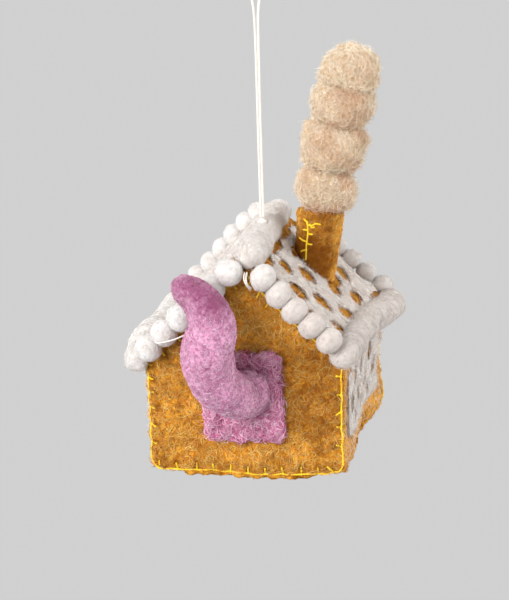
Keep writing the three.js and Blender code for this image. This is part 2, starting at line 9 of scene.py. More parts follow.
import bmesh
import bpy
import numpy as np
from mathutils import Matrix, Vector, noise
from mathutils.bvhtree import BVHTree


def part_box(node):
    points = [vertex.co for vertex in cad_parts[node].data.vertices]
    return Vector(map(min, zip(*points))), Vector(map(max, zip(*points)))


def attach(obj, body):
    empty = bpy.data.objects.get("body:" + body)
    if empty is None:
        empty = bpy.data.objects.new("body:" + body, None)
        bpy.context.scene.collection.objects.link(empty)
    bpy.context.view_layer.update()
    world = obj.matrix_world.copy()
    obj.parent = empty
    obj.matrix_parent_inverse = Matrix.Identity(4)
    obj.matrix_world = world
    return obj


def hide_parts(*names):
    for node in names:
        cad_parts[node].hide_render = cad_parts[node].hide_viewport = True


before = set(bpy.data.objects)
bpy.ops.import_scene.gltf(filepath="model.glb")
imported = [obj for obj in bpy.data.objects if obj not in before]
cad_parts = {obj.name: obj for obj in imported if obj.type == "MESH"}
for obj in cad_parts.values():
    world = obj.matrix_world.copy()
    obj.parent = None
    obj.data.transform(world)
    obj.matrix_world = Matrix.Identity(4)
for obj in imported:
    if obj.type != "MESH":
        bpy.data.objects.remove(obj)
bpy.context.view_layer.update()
MM = 0.001

# Sizes of the real piece, as the CAD source has them.
HALF_WIDTH = 34 * MM
HALF_DEPTH = 36 * MM
EAVE_HEIGHT = 42 * MM
ROOF_RISE = 32.5 * MM
FELT = 3 * MM
SEAM_GAP = 0.3 * MM
LOWER_CORNER_RADIUS = 4 * MM
WALL_BASE = FELT + SEAM_GAP
WALL_APEX = EAVE_HEIGHT + ROOF_RISE
ROOF_ANGLE = math.atan2(ROOF_RISE, HALF_WIDTH)
ROOF_UNDERSIDE = WALL_APEX + SEAM_GAP / math.cos(ROOF_ANGLE)
ROOF_TOP = ROOF_UNDERSIDE + FELT / math.cos(ROOF_ANGLE)

# The middle of the house's base, as the frame has it. Points in the house's own frame are from there.
floor_low, floor_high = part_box("floor_panel")
HOUSE = np.array([
    (floor_low[0] + floor_high[0]) / 2, (floor_low[1] + floor_high[1]) / 2, floor_low[2],
])

# Camera: a long lens at the photograph's angle, placed by the middle of the front wall's foot.
PICTURE_WIDTH = 509
PICTURE_HEIGHT = 600
CAMERA_AZIMUTH = math.radians(12)
CAMERA_ELEVATION = math.radians(17.5)
CAMERA_ROLL = math.radians(-1.8)
CAMERA_DISTANCE = 850 * MM
MM_PER_PIXEL = 0.345
WALL_FOOT_PIXEL = (246.5, 471)
SENSOR_WIDTH = 36
CLIP_START = 0.01
CLIP_END = 50


def make_camera():
    data = bpy.data.cameras.new("camera")
    camera = bpy.data.objects.new("camera", data)
    bpy.context.scene.collection.objects.link(camera)
    data.sensor_fit = "HORIZONTAL"
    data.sensor_width = SENSOR_WIDTH
    data.lens = CAMERA_DISTANCE / (MM_PER_PIXEL * MM) * SENSOR_WIDTH / PICTURE_WIDTH
    data.clip_start = CLIP_START
    data.clip_end = CLIP_END
    level = math.cos(CAMERA_ELEVATION)
    back = Vector((
        math.sin(CAMERA_AZIMUTH) * level,
        -math.cos(CAMERA_AZIMUTH) * level,
        math.sin(CAMERA_ELEVATION),
    ))
    level_right = Vector((math.cos(CAMERA_AZIMUTH), math.sin(CAMERA_AZIMUTH), 0))
    level_up = back.cross(level_right)
    right = level_right * math.cos(CAMERA_ROLL) + level_up * math.sin(CAMERA_ROLL)
    up = level_up * math.cos(CAMERA_ROLL) - level_right * math.sin(CAMERA_ROLL)
    aside = (WALL_FOOT_PIXEL[0] - PICTURE_WIDTH / 2) * MM_PER_PIXEL * MM
    above = (PICTURE_HEIGHT / 2 - WALL_FOOT_PIXEL[1]) * MM_PER_PIXEL * MM
    foot = Vector(HOUSE + (0, -HALF_DEPTH, WALL_BASE))
    place = foot - right * aside - up * above + back * CAMERA_DISTANCE
    turn = Matrix((right, up, back)).transposed().to_4x4()
    camera.matrix_world = Matrix.Translation(place) @ turn
    bpy.context.scene.camera = camera


make_camera()


# Lines, swept tubes and twisted threads.
def spline(points, per_span):
    """Points on a Catmull-Rom curve through the given ones."""
    knots = [Vector(p) for p in points]
    padded = [2 * knots[0] - knots[1], *knots, 2 * knots[-1] - knots[-2]]
    curve = []
    for a, b, c, d in zip(padded, padded[1:], padded[2:], padded[3:]):
        for step in range(per_span):
            t = step / per_span
            curve.append(0.5 * (2 * b + (c - a) * t + (2 * a - 5 * b + 4 * c - d) * t ** 2
                                + (3 * b - a - 3 * c + d) * t ** 3))
    curve.append(knots[-1])
    return curve


def length_of(points):
    return sum((b - a).length for a, b in zip(points, points[1:]))


def resampled(points, count):
    """The same line with evenly spaced points."""
    array = np.array(points)
    steps = np.concatenate([[0], np.cumsum(np.linalg.norm(np.diff(array, axis=0), axis=1))])
    wanted = np.linspace(0, steps[-1], count)
    return [Vector([np.interp(w, steps, array[:, axis]) for axis in range(3)]) for w in wanted]


def sides_along(points):
    """A steady pair of side directions at each point of a line."""
    across = None
    pairs = []
    for index in range(len(points)):
        after, before = points[min(index + 1, len(points) - 1)], points[max(index - 1, 0)]
        ahead = (after - before).normalized()
        if across is None:
            across = ahead.orthogonal()
        across = (across - ahead * across.dot(ahead)).normalized()
        pairs.append((across.copy(), ahead.cross(across)))
    return pairs


def sweep(points, radii, sides):
    """Vertices and faces of a tube that closes to a point at both ends of its line."""
    verts = [points[0]]
    for point, radius, (across, aside) in list(zip(points, radii, sides_along(points)))[1:-1]:
        for side in range(sides):
            turn = 2 * math.pi * side / sides
            verts.append(point + radius * (across * math.cos(turn) + aside * math.sin(turn)))
    verts.append(points[-1])
    last = len(verts) - 1
    faces = []
    for side in range(sides):
        after = (side + 1) % sides
        faces.append((0, 1 + after, 1 + side))
        faces.append((last, last - sides + side, last - sides + after))
        for near in range(1, last - sides, sides):
            far = near + sides
            faces.append((near + side, near + after, far + after, far + side))
    return verts, faces


def rod(points, radius, sides=6):
    """A tube of one radius along a line."""
    return sweep(points, [radius] * len(points), sides)


# A spun thread's diameter, its plies, the length of one twist, and the sides of each ply.
Spin = namedtuple("Spin", "diameter plies pitch sides")
PLY_SHARE = 0.29


def twisted(points, spin):
    """A spun thread: each ply is a thin tube wound round the line."""
    ply_radius = spin.diameter * PLY_SHARE
    wind_radius = spin.diameter / 2 - ply_radius
    parts = []
    pairs = sides_along(points)
    for ply in range(spin.plies):
        along = 0
        line = []
        for index, (point, (across, aside)) in enumerate(zip(points, pairs)):
            if index:
                along += (point - points[index - 1]).length
            turn = 2 * math.pi * (ply / spin.plies + along / spin.pitch)
            line.append(point + (across * math.cos(turn) + aside * math.sin(turn)) * wind_radius)
        parts.append(rod(line, ply_radius, spin.sides))
    return joined(parts)


def joined(parts):
    """Vertices and faces of several pairs as one pair."""
    verts, faces = [], []
    for part_verts, part_faces in parts:
        faces += [tuple(i + len(verts) for i in face) for face in part_faces]
        verts += part_verts
    return verts, faces


def linked(name, data):
    obj = bpy.data.objects.new(name, data)
    bpy.context.scene.collection.objects.link(obj)
    return obj


def mesh_object(name, verts, faces, material):
    mesh = bpy.data.meshes.new(name)
    mesh.from_pydata([tuple(v) for v in verts], [], faces)
    mesh.materials.append(material)
    mesh.shade_smooth()
    return linked(name, mesh)


def baked(obj):
    """Turns what an object's modifiers make into its own plain mesh."""
    shown = obj.evaluated_get(bpy.context.evaluated_depsgraph_get())
    mesh = bpy.data.meshes.new_from_object(shown)
    obj.modifiers.clear()
    obj.data = mesh


def finished(obj, body, slot, *nodes):
    """Says what a finished piece rides on and what it stands for; its slot, what it is made of, is not
    used.
    """
    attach(obj, body)
    if nodes:
        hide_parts(*nodes)
    return obj


# Node graphs.
class Socket:
    """An output of a node. Arithmetic on it adds Math nodes to its graph."""

    def __init__(self, graph, socket):
        self.graph = graph
        self.socket = socket

    def math(self, operation, *others, clamp=False):
        settings = {"operation": operation, "use_clamp": clamp}
        return self.graph.add("ShaderNodeMath", settings, dict(enumerate((self, *others))))

    def __add__(self, other):
        return self.math("ADD", other)

    def __sub__(self, other):
        return self.math("SUBTRACT", other)

    def __rsub__(self, other):
        return self.graph.add("ShaderNodeMath", {"operation": "SUBTRACT"}, {0: other, 1: self})

    def __mul__(self, other):
        return self.math("MULTIPLY", other)

    def clamped(self):
        return self.math("ADD", 0.0, clamp=True)


class Graph:
    """Nodes of a material, the world or a geometry tree."""

    def __init__(self, tree):
        self.tree = tree

    def add(self, kind, settings=None, sockets=None, output=0):
        """One node: its settings, what its sockets get, and the output that is used."""
        node = self.tree.nodes.new(kind)
        for key, value in (settings or {}).items():
            setattr(node, key, value)
        for key, value in (sockets or {}).items():
            for one in value if isinstance(value, list) else [value]:
                self.give(node.inputs[key], one)
        return Socket(self, node.outputs[output] if node.outputs else None)

    def give(self, target, value):
        """Links a socket to another's output, or gives it a constant."""
        if isinstance(value, Socket):
            self.tree.links.new(value.socket, target)
        else:
            target.default_value = value


class Paint(Graph):
    """A material under construction."""

    def __init__(self, name):
        self.material = bpy.data.materials.new(name)
        self.material.use_nodes = True
        super().__init__(self.material.node_tree)
        self.shader = self.tree.nodes["Principled BSDF"]
        self.place = self.add("ShaderNodeTexCoord", output="Object")

    def surface(self, **sockets):
        for key, value in sockets.items():
            self.give(self.shader.inputs[key.replace("_", " ")], value)

    def noise(self, scale, detail, distortion, where):
        return self.add("ShaderNodeTexNoise", None, {
            "Vector": where, "Scale": scale, "Detail": detail, "Distortion": distortion,
        })

    def given(self, name):
        """A number that the mesh carries at each point."""
        return self.add("ShaderNodeAttribute", {"attribute_name": name}, None, "Fac")

    def cloud(self, scale, contrast, level, detail=2.0):
        """Soft blotches from 0 to 1 about a level."""
        return ((self.noise(scale, detail, 0.4, self.place) - 0.5) * contrast + level).clamped()

    def strands(self, scale, sharpness, shift):
        """Thin tangled lines: the places where a stirred noise crosses its middle."""
        settings, sockets = {"operation": "ADD"}, {0: self.place, 1: (shift, -shift, shift)}
        moved = self.add("ShaderNodeVectorMath", settings, sockets)
        field = self.noise(scale, 1.0, 1.5, moved)
        return (1.0 - (field - 0.5).math("ABSOLUTE") * sharpness).clamped()

    def mixed(self, factor, low, high):
        sockets = {"Factor": factor, 6: low, 7: high}
        return self.add("ShaderNodeMix", {"data_type": "RGBA"}, sockets, 2)

    def darkening(self, colour, pit):
        """A colour that nears the pits' where the shade attribute (painted shade and light, dark spots)
        is high.
        """
        return self.mixed(self.given("shade") * 0.8, colour, pit)

    def bumped(self, height, strength, distance):
        self.surface(Normal=self.add("ShaderNodeBump", None, {
            "Strength": strength, "Distance": distance, "Height": height,
        }))


def rgb(red, green, blue):
    """An sRGB colour out of 255 as linear red, green, blue and alpha."""
    def linear(value):
        value /= 255
        return value / 12.92 if value <= 0.04045 else ((value + 0.055) / 1.055) ** 2.4
    return (linear(red), linear(green), linear(blue), 1.0)


def wool(name, pit, body, lit, blotch, strand, depth, level=0.5, tangles=0.6, pits=0.6, sheen=0.0):
    """Felted wool: blotches of two tones, dark pits between the fibres, pale tangles over them."""
    paint = Paint(name)
    blotches = paint.cloud(blotch, 2.6, level, 3.0)
    hollows = paint.cloud(strand * 0.8, 5.0, 0.25)
    coarse = paint.strands(strand, 10.0, 0.31)
    tangle = coarse.math("MAXIMUM", paint.strands(strand * 2.1, 8.0, 0.77) * 0.8)
    base = paint.mixed(hollows * pits, paint.mixed(blotches, pit, body), pit)
    paint.surface(
        Base_Color=paint.darkening(paint.mixed(tangle * tangles, base, lit), pit),
        Roughness=1.0, Specular_IOR_Level=0.05, Sheen_Weight=sheen, Sheen_Roughness=0.4,
    )
    paint.bumped(tangle - hollows * 0.6, 0.8, depth * MM)
    return paint.material


def fibre_finish(name, pit, one, other):
    """The finish of loose fibres, each of its own tone, darker where their mesh has painted shade or
    spots.
    """
    paint = Paint(name)
    paint.surface(
        Base_Color=paint.darkening(paint.mixed(paint.given("tone"), one, other), pit),
        Roughness=0.9, Specular_IOR_Level=0.1,
    )
    return paint.material


def thread_finish(name, shade, colour, twist):
    """Spun thread: fine lines over the plies' own shape."""
    paint = Paint(name)
    grain = paint.strands(twist, 6.0, 0.13)
    colours = paint.mixed(grain, shade, colour)
    paint.surface(Base_Color=colours, Roughness=0.75, Specular_IOR_Level=0.3)
    paint.bumped(grain, 0.5, 0.05 * MM)
    return paint.material


# Wools: the colours of the pits, the body and the lit fibres; blotches and strands to a metre; the
# bump's depth in millimetres; the body's level over the pits; and shares of tangle, pits and sheen.
OCHRE_PIT = rgb(126, 58, 4)
WHITE_PIT = rgb(196, 182, 172)
LIMB_PIT = rgb(140, 58, 100)
PATCH_PIT = rgb(122, 42, 74)
PLUME_PIT = rgb(204, 142, 96)
OCHRE = wool(
    "felt_ochre", OCHRE_PIT, rgb(255, 168, 26), rgb(255, 208, 96),
    90.0, 900.0, 0.25, 0.8, 0.6, 0.8,
)
WHITE_BEAD = wool(
    "wool_white_bead", WHITE_PIT, rgb(227, 225, 223), rgb(238, 237, 236),
    260.0, 1500.0, 0.06, 0.8, 0.4, 0.3, 0.3,
)
WHITE_ROLL = wool(
    "wool_white_roll", WHITE_PIT, rgb(227, 223, 220), rgb(238, 236, 234),
    160.0, 1100.0, 0.08, 0.7, 0.5, 0.4, 0.4,
)
WHITE_NET = wool(
    "wool_white_net", rgb(214, 186, 162), rgb(243, 235, 229), rgb(252, 248, 245),
    220.0, 1100.0, 0.12, 0.65, 0.6, 0.5, 0.3,
)
LIMB = wool(
    "wool_limb", LIMB_PIT, rgb(255, 184, 222), rgb(255, 202, 233),
    220.0, 1300.0, 0.16, 0.7, 0.5, 0.85, 0.3,
)
PATCH = wool(
    "wool_patch", PATCH_PIT, rgb(255, 172, 212), rgb(255, 204, 230),
    140.0, 700.0, 0.3, 0.66, 0.7, 0.9,
)
PLUME = wool(
    "wool_plume", PLUME_PIT, rgb(238, 217, 187), rgb(252, 240, 220),
    120.0, 900.0, 0.15, 0.8, 0.6, 0.35, 0.5,
)
STUFFING = wool(
    "wool_stuffing", rgb(220, 216, 210), rgb(240, 238, 234), rgb(250, 249, 247),
    90.0, 600.0, 0.3,
)
OCHRE_FIBRE = fibre_finish("fibre_ochre", OCHRE_PIT, rgb(222, 122, 6), rgb(255, 226, 136))
# Paler fibres for the side walls: painted backlight on their fuzz, with some white of the nets' fibres
# in it.
PALE_BACKLIT_FIBRE = fibre_finish(
    "fibre_pale_ochre_backlit", rgb(190, 130, 70), rgb(240, 182, 104), rgb(252, 236, 208),
)
WHITE_FIBRE = fibre_finish("fibre_white", WHITE_PIT, rgb(224, 218, 213), rgb(250, 249, 247))
LIMB_FIBRE = fibre_finish("fibre_limb", LIMB_PIT, rgb(200, 96, 154), rgb(255, 232, 247))
PATCH_FIBRE = fibre_finish("fibre_patch", PATCH_PIT, rgb(214, 98, 152), rgb(255, 222, 240))
PLUME_FIBRE = fibre_finish("fibre_plume", PLUME_PIT, rgb(226, 194, 150), rgb(255, 250, 236))
YELLOW = thread_finish("thread_yellow", rgb(240, 186, 10), rgb(255, 230, 66), 1600.0)
TWINE = thread_finish("twine_cotton", rgb(226, 214, 202), rgb(250, 246, 240), 2200.0)

# Each kind of piece: its slot and finish, the size of its quads and how often they are smoothed, the
# size and depth of each layer of its roughness, and its coat. A coat is its finish, the fibres to a
# square millimetre, their length and radius, their lean from upright with its spread in degrees, and
# the points of each. Sizes are in millimetres. Pieces swept or made from balls have no quad size.
Kind = namedtuple("Kind", "slot finish quad smoothing layers coat")
Coat = namedtuple("Coat", "finish density length radius lean spread points", defaults=(85, 14, 3))
KINDS = {
    "front_wall": Kind(
        "ochre_felt", OCHRE, 0.75, 3, [(12, 0.35), (4, 0.3), (1.4, 0.16)],
        Coat(OCHRE_FIBRE, 1.6, 4.0, 0.1, 82, 16, 4),
    ),
    "back_wall": Kind(
        "ochre_felt", OCHRE, 0.75, 3, [(12, 0.35), (4, 0.3), (1.4, 0.16)],
        Coat(OCHRE_FIBRE, 0.65, 3.4, 0.13),
    ),
    "side_wall": Kind(
        "ochre_felt", OCHRE, 0.75, 4, [(12, 0.4), (4, 0.25), (1.5, 0.15)],
        Coat(PALE_BACKLIT_FIBRE, 1.1, 3.4, 0.09, 80, 20),
    ),
    "roof": Kind(
        "ochre_felt", OCHRE, 0.75, 4, [(9, 0.3), (3, 0.2), (1.4, 0.12)],
        Coat(OCHRE_FIBRE, 0.8, 2.8, 0.1),
    ),
    "floor": Kind(
        "ochre_felt", OCHRE, 0.9, 3, [(10, 0.3), (3.5, 0.35), (1.4, 0.15)],
        Coat(OCHRE_FIBRE, 0.25, 3, 0.12),
    ),
    "roll": Kind(
        "white_roll_wool", WHITE_ROLL, 0.65, 10, [(10, 0.8), (5, 0.25), (1.8, 0.12)],
        Coat(WHITE_FIBRE, 1.5, 3.4, 0.065, 82, 16),
    ),
    "bead": Kind(
        "white_bead_felt", WHITE_BEAD, None, None, [(6, 0.2), (1.6, 0.06)],
        Coat(WHITE_FIBRE, 1.7, 2.4, 0.055, 83, 14),
    ),
    "net": Kind(
        "white_net_wool", WHITE_NET, 0.65, 8, [(6, 0.4), (2.4, 0.5), (1.1, 0.24)],
        Coat(WHITE_FIBRE, 1.9, 4.0, 0.08, 78, 22),
    ),
    "chimney": Kind(
        "ochre_felt", OCHRE, 0.55, 4, [(7, 0.4), (2.6, 0.22), (1.2, 0.12)],
        Coat(OCHRE_FIBRE, 2.6, 2.4, 0.08),
    ),
    "puff": Kind(
        "plume_wool", PLUME, None, None, [(9, 1.8), (4, 0.9), (1.8, 0.4)],
        Coat(PLUME_FIBRE, 3.3, 6.0, 0.07, 66, 38, 4),
    ),
    "patch": Kind(
        "patch_wool", PATCH, 0.45, 6, [(5, 0.5), (2.2, 0.7), (1.0, 0.3)],
        Coat(PATCH_FIBRE, 2.6, 4.6, 0.14, 80, 16, 4),
    ),
    "limb": Kind(
        "limb_wool", LIMB, None, None, [(11, 0.35), (4, 0.16), (1.5, 0.1)],
        Coat(LIMB_FIBRE, 2.8, 2.0, 0.08, 78, 20),
    ),
    "stuffing": Kind("stuffing_fibre", STUFFING, 1.6, 3, [(8, 0.25), (3, 0.15)], None),
}


# The twine: up from the knot, round the eye and down again, with its two strands side by side.
TWINE_DIAMETER = 0.95 * MM
TWINE_SPIN = Spin(TWINE_DIAMETER, 3, 2.6 * MM, 6)
TWINE_POINTS = 520
# Across and up in millimetres, from beside the knot to the eye's top.
TWINE_HALF_ROUTE = [
    (0.46, -90.5), (0.44, -78), (0.47, -65), (0.45, -52), (0.46, -39), (0.5, -27),
    (0.75, -18), (1.7, -12), (3.0, -7.6), (3.5, -4.2), (2.5, -0.9),
]
KNOT = Vector((0, 0, -92 * MM))
KNOT_RADIUS = 1.1 * MM
KNOT_THREAD = TWINE_DIAMETER * 0.7
KNOT_TURNS = 7
KNOT_TILT = 0.55
WINDING_STEPS = 14
CUP_RADIUS = 1.8 * MM
CUP_THREAD = 0.7 * MM
CUP_LOOPS = 3


def make_twine():
    half = [Vector((x, 0, z)) * MM for x, z in TWINE_HALF_ROUTE]
    top = Vector((0, 0, TWINE_DIAMETER / 2))
    other = [Vector((-p.x, 0, p.z)) for p in reversed(half)]
    route = spline([*half, top, *other], 8)
    verts, faces = twisted(resampled(route, TWINE_POINTS), TWINE_SPIN)
    twine = mesh_object("cotton_twine_loop", verts, faces, TWINE)
    knot = make_knot()
    finished(twine, "twine", "cotton_twine", "hanging_loop")
    tuple(route[0])
    round(length_of(route), 4)
    [tuple(p) for p in route[::2]]


def knot_winding():
    """The knot's thread, wound round a ball like yarn, each turn a little further over."""
    points = []
    for step in range(KNOT_TURNS * WINDING_STEPS + 1):
        turn = 2 * math.pi * step / WINDING_STEPS
        lean = KNOT_TILT * turn / (2 * math.pi)
        point = Vector((math.cos(turn), math.sin(turn), 0)) * (KNOT_RADIUS - KNOT_THREAD / 2)
        tilt = Matrix.Rotation(lean, 3, "Y") @ Matrix.Rotation(0.6 * lean, 3, "X")
        points.append(KNOT + tilt @ point)
    return points


def make_knot():
    """The twine's knot: its own thread wound in a tight ball."""
    core = [KNOT + Vector((0, 0, z)) * KNOT_RADIUS for z in (-0.7, -0.4, 0, 0.4, 0.7)]
    widths = [KNOT_RADIUS * share for share in (0, 0.6, 0.7, 0.6, 0)]
    parts = [rod(knot_winding(), KNOT_THREAD / 2), sweep(core, widths, 8)]
    knot = mesh_object("twine_knot", *joined(parts), TWINE)
    return finished(knot, "knot", "cotton_twine", "hanger_knot")


def make_anchor():
    """The stitch that cradles the knot: loops of thread under it, and a ring round its waist."""
    reach = CUP_RADIUS - CUP_THREAD / 2
    parts = []
    for loop in range(CUP_LOOPS):
        spin = Matrix.Rotation(math.pi * loop / CUP_LOOPS, 3, "Z")
        turns = [math.pi * (1 + step / 16) for step in range(17)]
        line = [KNOT + spin @ Vector((math.cos(t), 0, math.sin(t))) * reach for t in turns]
        parts.append(rod(line, CUP_THREAD / 2))
    turns = [2 * math.pi * step / 24 for step in range(25)]
    ring = [KNOT + Vector((math.cos(t), math.sin(t), 0)) * reach for t in turns]
    parts.append(rod(ring, CUP_THREAD / 2))
    anchor = mesh_object("knot_stitch", *joined(parts), TWINE)
    finished(anchor, "stitch", "cotton_twine", "anchor_stitch")


make_twine()
make_anchor()

# Without a seed of its own the noise of directions starts from the clock.
noise.seed_set(3)


# Skins: even meshes of small quads, worked on as arrays in the house's own frame.
def lumps(points, size, seed):
    """Smooth noise from -1 to 1 whose bumps are about a size across."""
    scaled = points / size + (seed * 17.3, seed * 5.1, seed * 9.7)
    return np.array([noise.noise(p) for p in scaled.tolist()])


def stirred(points, size, seed):
    """The same noise as a direction at each point."""
    scaled = points / size + (seed * 11.9, seed * 3.3, seed * 7.1)
    return np.array([noise.noise_vector(p) for p in scaled.tolist()])


def nearness(points, spots, radius):
    """1 at the spots, falling to 0 within about twice the radius."""
    near = np.zeros(len(points))
    for spot in spots:
        square = ((points - spot) ** 2).sum(1)
        near = np.maximum(near, np.exp(-square / radius ** 2))
    return near


def bell(values, middle, width):
    """1 at the middle, falling to 0 within about twice the width."""
    return np.exp(-((values - middle) / width) ** 2)


def smooth(low, high, values):
    share = np.clip((values - low) / (high - low), 0, 1)
    return share * share * (3 - 2 * share)


def mottled(points, *sizes):
    """Dark spots of several sizes in millimetres, from 0 to about 0.8."""
    spots = [np.clip(lumps(points, size * MM, 40 + size) * 1.6, 0, 0.8) for size in sizes]
    return sum(layer / len(sizes) ** 0.5 for layer in spots)


def mm(*values):
    """A point given in millimetres."""
    return np.array(values) * MM


# How far the sewn house strays from its pattern, in millimetres: a place, a shift and its reach.
LEANS = [
    ((2, -38, 80), (1.3, 0, 1.0), 14), ((34, -38, 50), (0.6, 0, 0.9), 14),
    ((44, 34, 38), (4.6, 0, -0.6), 15), ((-12, 42, 70), (-1.0, 0, 1.4), 13),
    ((-30, 42, 50), (0.6, 0, -1.2), 12), ((0, 36, 80), (0, 0, -1.5), 14),
    ((-38, -40, 46), (-0.4, 0, -0.5), 12), ((37, 37, 8), (3.8, 0, 0), 12),
    ((17, 12, 76), (0.7, 0, 0), 12), ((-32, -38, 0), (0, 0, -1.4), 14),
    ((8, -38, 2), (0, 0, -0.9), 16), ((36, 10, -2), (-2.6, 0, 0), 18),
]


def leaned(points):
    """Points of the house's frame, shifted as the handmade house strays."""
    moved = points.copy()
    for place, shift, reach in LEANS:
        square = ((points - mm(*place)) ** 2).sum(1)
        moved += np.exp(-square / (reach * MM) ** 2)[:, None] * np.array(shift) * MM
    return moved


class Skin:
    """The points of an object's mesh, in the house's own frame."""

    def __init__(self, obj, kind=None, node=None):
        self.obj = obj
        self.kind = kind
        self.node = node
        flat = np.empty(len(obj.data.vertices) * 3, np.float32)
        obj.data.vertices.foreach_get("co", flat)
        self.points = flat.reshape(-1, 3).astype(float) - HOUSE

    def write(self):
        self.obj.data.vertices.foreach_set("co", (self.points + HOUSE).astype(np.float32).ravel())
        self.obj.data.update()

    def normals(self):
        self.write()
        flat = np.empty(len(self.points) * 3, np.float32)
        self.obj.data.vertices.foreach_get("normal", flat)
        return flat.reshape(-1, 3).astype(float)

    def push(self, amounts):
        self.points += self.normals() * amounts[:, None]

    def rough(self):
        """Pushes the kind's noise out of the surface."""
        for seed, (size, depth) in enumerate(self.kind.layers, 1):
            self.push(lumps(self.points, size * MM, seed) * (depth * MM))

    def mark(self, name, weights):
        """Stores a number from 0 to 1 at each point."""
        attribute = self.obj.data.attributes.new(name, "FLOAT", "POINT")
        attribute.data.foreach_set("value", np.clip(weights, 0, 1).astype(np.float32))

    def mark_all(self, shade):
        """Marks a shade, and all of the skin for its coat."""
        self.mark("shade", shade)
        self.mark("coat", np.ones(len(self.points)))

    def facing(self, direction, low=-0.2, high=0.3):
        """1 where the surface faces a direction, 0 where it faces away."""
        return smooth(low, high, self.normals() @ np.array(direction))

    def tree(self):
        """The surface as something that a thread can be laid on."""
        faces = [tuple(p.vertices) for p in self.obj.data.polygons]
        return BVHTree.FromPolygons(self.points.tolist(), faces)


def even_skin(name, kind, node):
    """A node's solid as one closed skin of even quads with softened edges."""
    kind = KINDS[kind]
    solid = bmesh.new()
    solid.from_mesh(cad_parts[node].data)
    bmesh.ops.remove_doubles(solid, verts=solid.verts, dist=0.005 * MM)
    mesh = bpy.data.meshes.new(name)
    solid.to_mesh(mesh)
    solid.free()
    obj = linked(name, mesh)
    even = obj.modifiers.new("even", "REMESH")
    even.mode = "VOXEL"
    even.voxel_size = kind.quad * MM
    soft = obj.modifiers.new("soft", "SMOOTH")
    soft.iterations = kind.smoothing
    soft.factor = 0.5
    baked(obj)
    obj.data.materials.clear()
    obj.data.materials.append(kind.finish)
    obj.data.shade_smooth()
    return Skin(obj, kind, node)


BALL_DETAIL = 4


def ball_skin(name, kind, node, centre, scale, turn, fullness=2):
    """A ball of even triangles, squashed along its own axes, turned and placed in the house's frame.

    A fullness over 2 makes it more like a barrel.
    """
    kind = KINDS[kind]
    ball = bmesh.new()
    bmesh.ops.create_icosphere(ball, subdivisions=BALL_DETAIL, radius=1)
    for vert in ball.verts:
        span = vert.co.xy.length ** fullness + abs(vert.co.z) ** fullness
        vert.co /= span ** (1 / fullness)
    stretch = Matrix.Diagonal((*scale, 1))
    place = Matrix.Translation(Vector(HOUSE) + Vector(centre)) @ turn.to_4x4() @ stretch
    bmesh.ops.transform(ball, matrix=place, verts=ball.verts)
    mesh = bpy.data.meshes.new(name)
    ball.to_mesh(mesh)
    ball.free()
    mesh.materials.append(kind.finish)
    mesh.shade_smooth()
    return Skin(linked(name, mesh), kind, node)


def pressed(skin, centre, inside):
    """Draws points that are inside a neighbour back towards a centre until they are clear of it."""
    offset = skin.points - centre
    share = np.ones(len(offset))
    for step in np.linspace(1, 0.1, 46):
        hit = inside(centre + offset * share[:, None])
        share[hit] = step
    skin.points = centre + offset * share[:, None]


def housed(obj, slot, *nodes):
    """Leans a finished piece of the house with the rest of it, and sets it on the house, hiding its
    nodes.
    """
    skin = Skin(obj)
    skin.points = leaned(skin.points)
    skin.write()
    finished(obj, "house", slot, *nodes)


def house_object(name, verts, faces, finish):
    """A mesh whose points are given in the house's frame."""
    return mesh_object(name, [v + Vector(HOUSE) for v in verts], faces, finish)


def sewn(name, parts, finish, slot, *nodes):
    """Threads in the house's frame as one finished piece."""
    housed(house_object(name, *joined(parts), finish), slot, *nodes)


# Loose fibres: bent, tapered strands scattered over a skin. Each shape is a start, two handles and
# an end, for a fibre of length 1.
FIBRE_SHAPES = [
    ((0.0, -0.05, -0.5), (0.15, 0.12, -0.2), (-0.1, 0.13, 0.2), (0.05, -0.05, 0.5)),
    ((-0.1, -0.05, -0.5), (0.35, 0.1, -0.1), (-0.35, 0.12, 0.1), (0.1, -0.05, 0.5)),
    ((0.0, -0.05, -0.45), (-0.2, 0.12, -0.1), (0.5, 0.14, 0.2), (0.45, -0.03, 0.35)),
    ((-0.2, -0.05, -0.4), (0.3, 0.14, -0.5), (0.6, 0.14, 0.4), (-0.1, -0.03, 0.4)),
]
FIBRE_TAPER = 0.85
FIBRE_SCALES = (0.5, 1.3)
FIBRE_SOCKETS = {
    "Skin": "Geometry", "Density": "Float", "Length": "Float", "Radius": "Float", "Lean": "Float",
    "Spread": "Float", "Points": "Int", "Seed": "Int", "Finish": "Material",
}


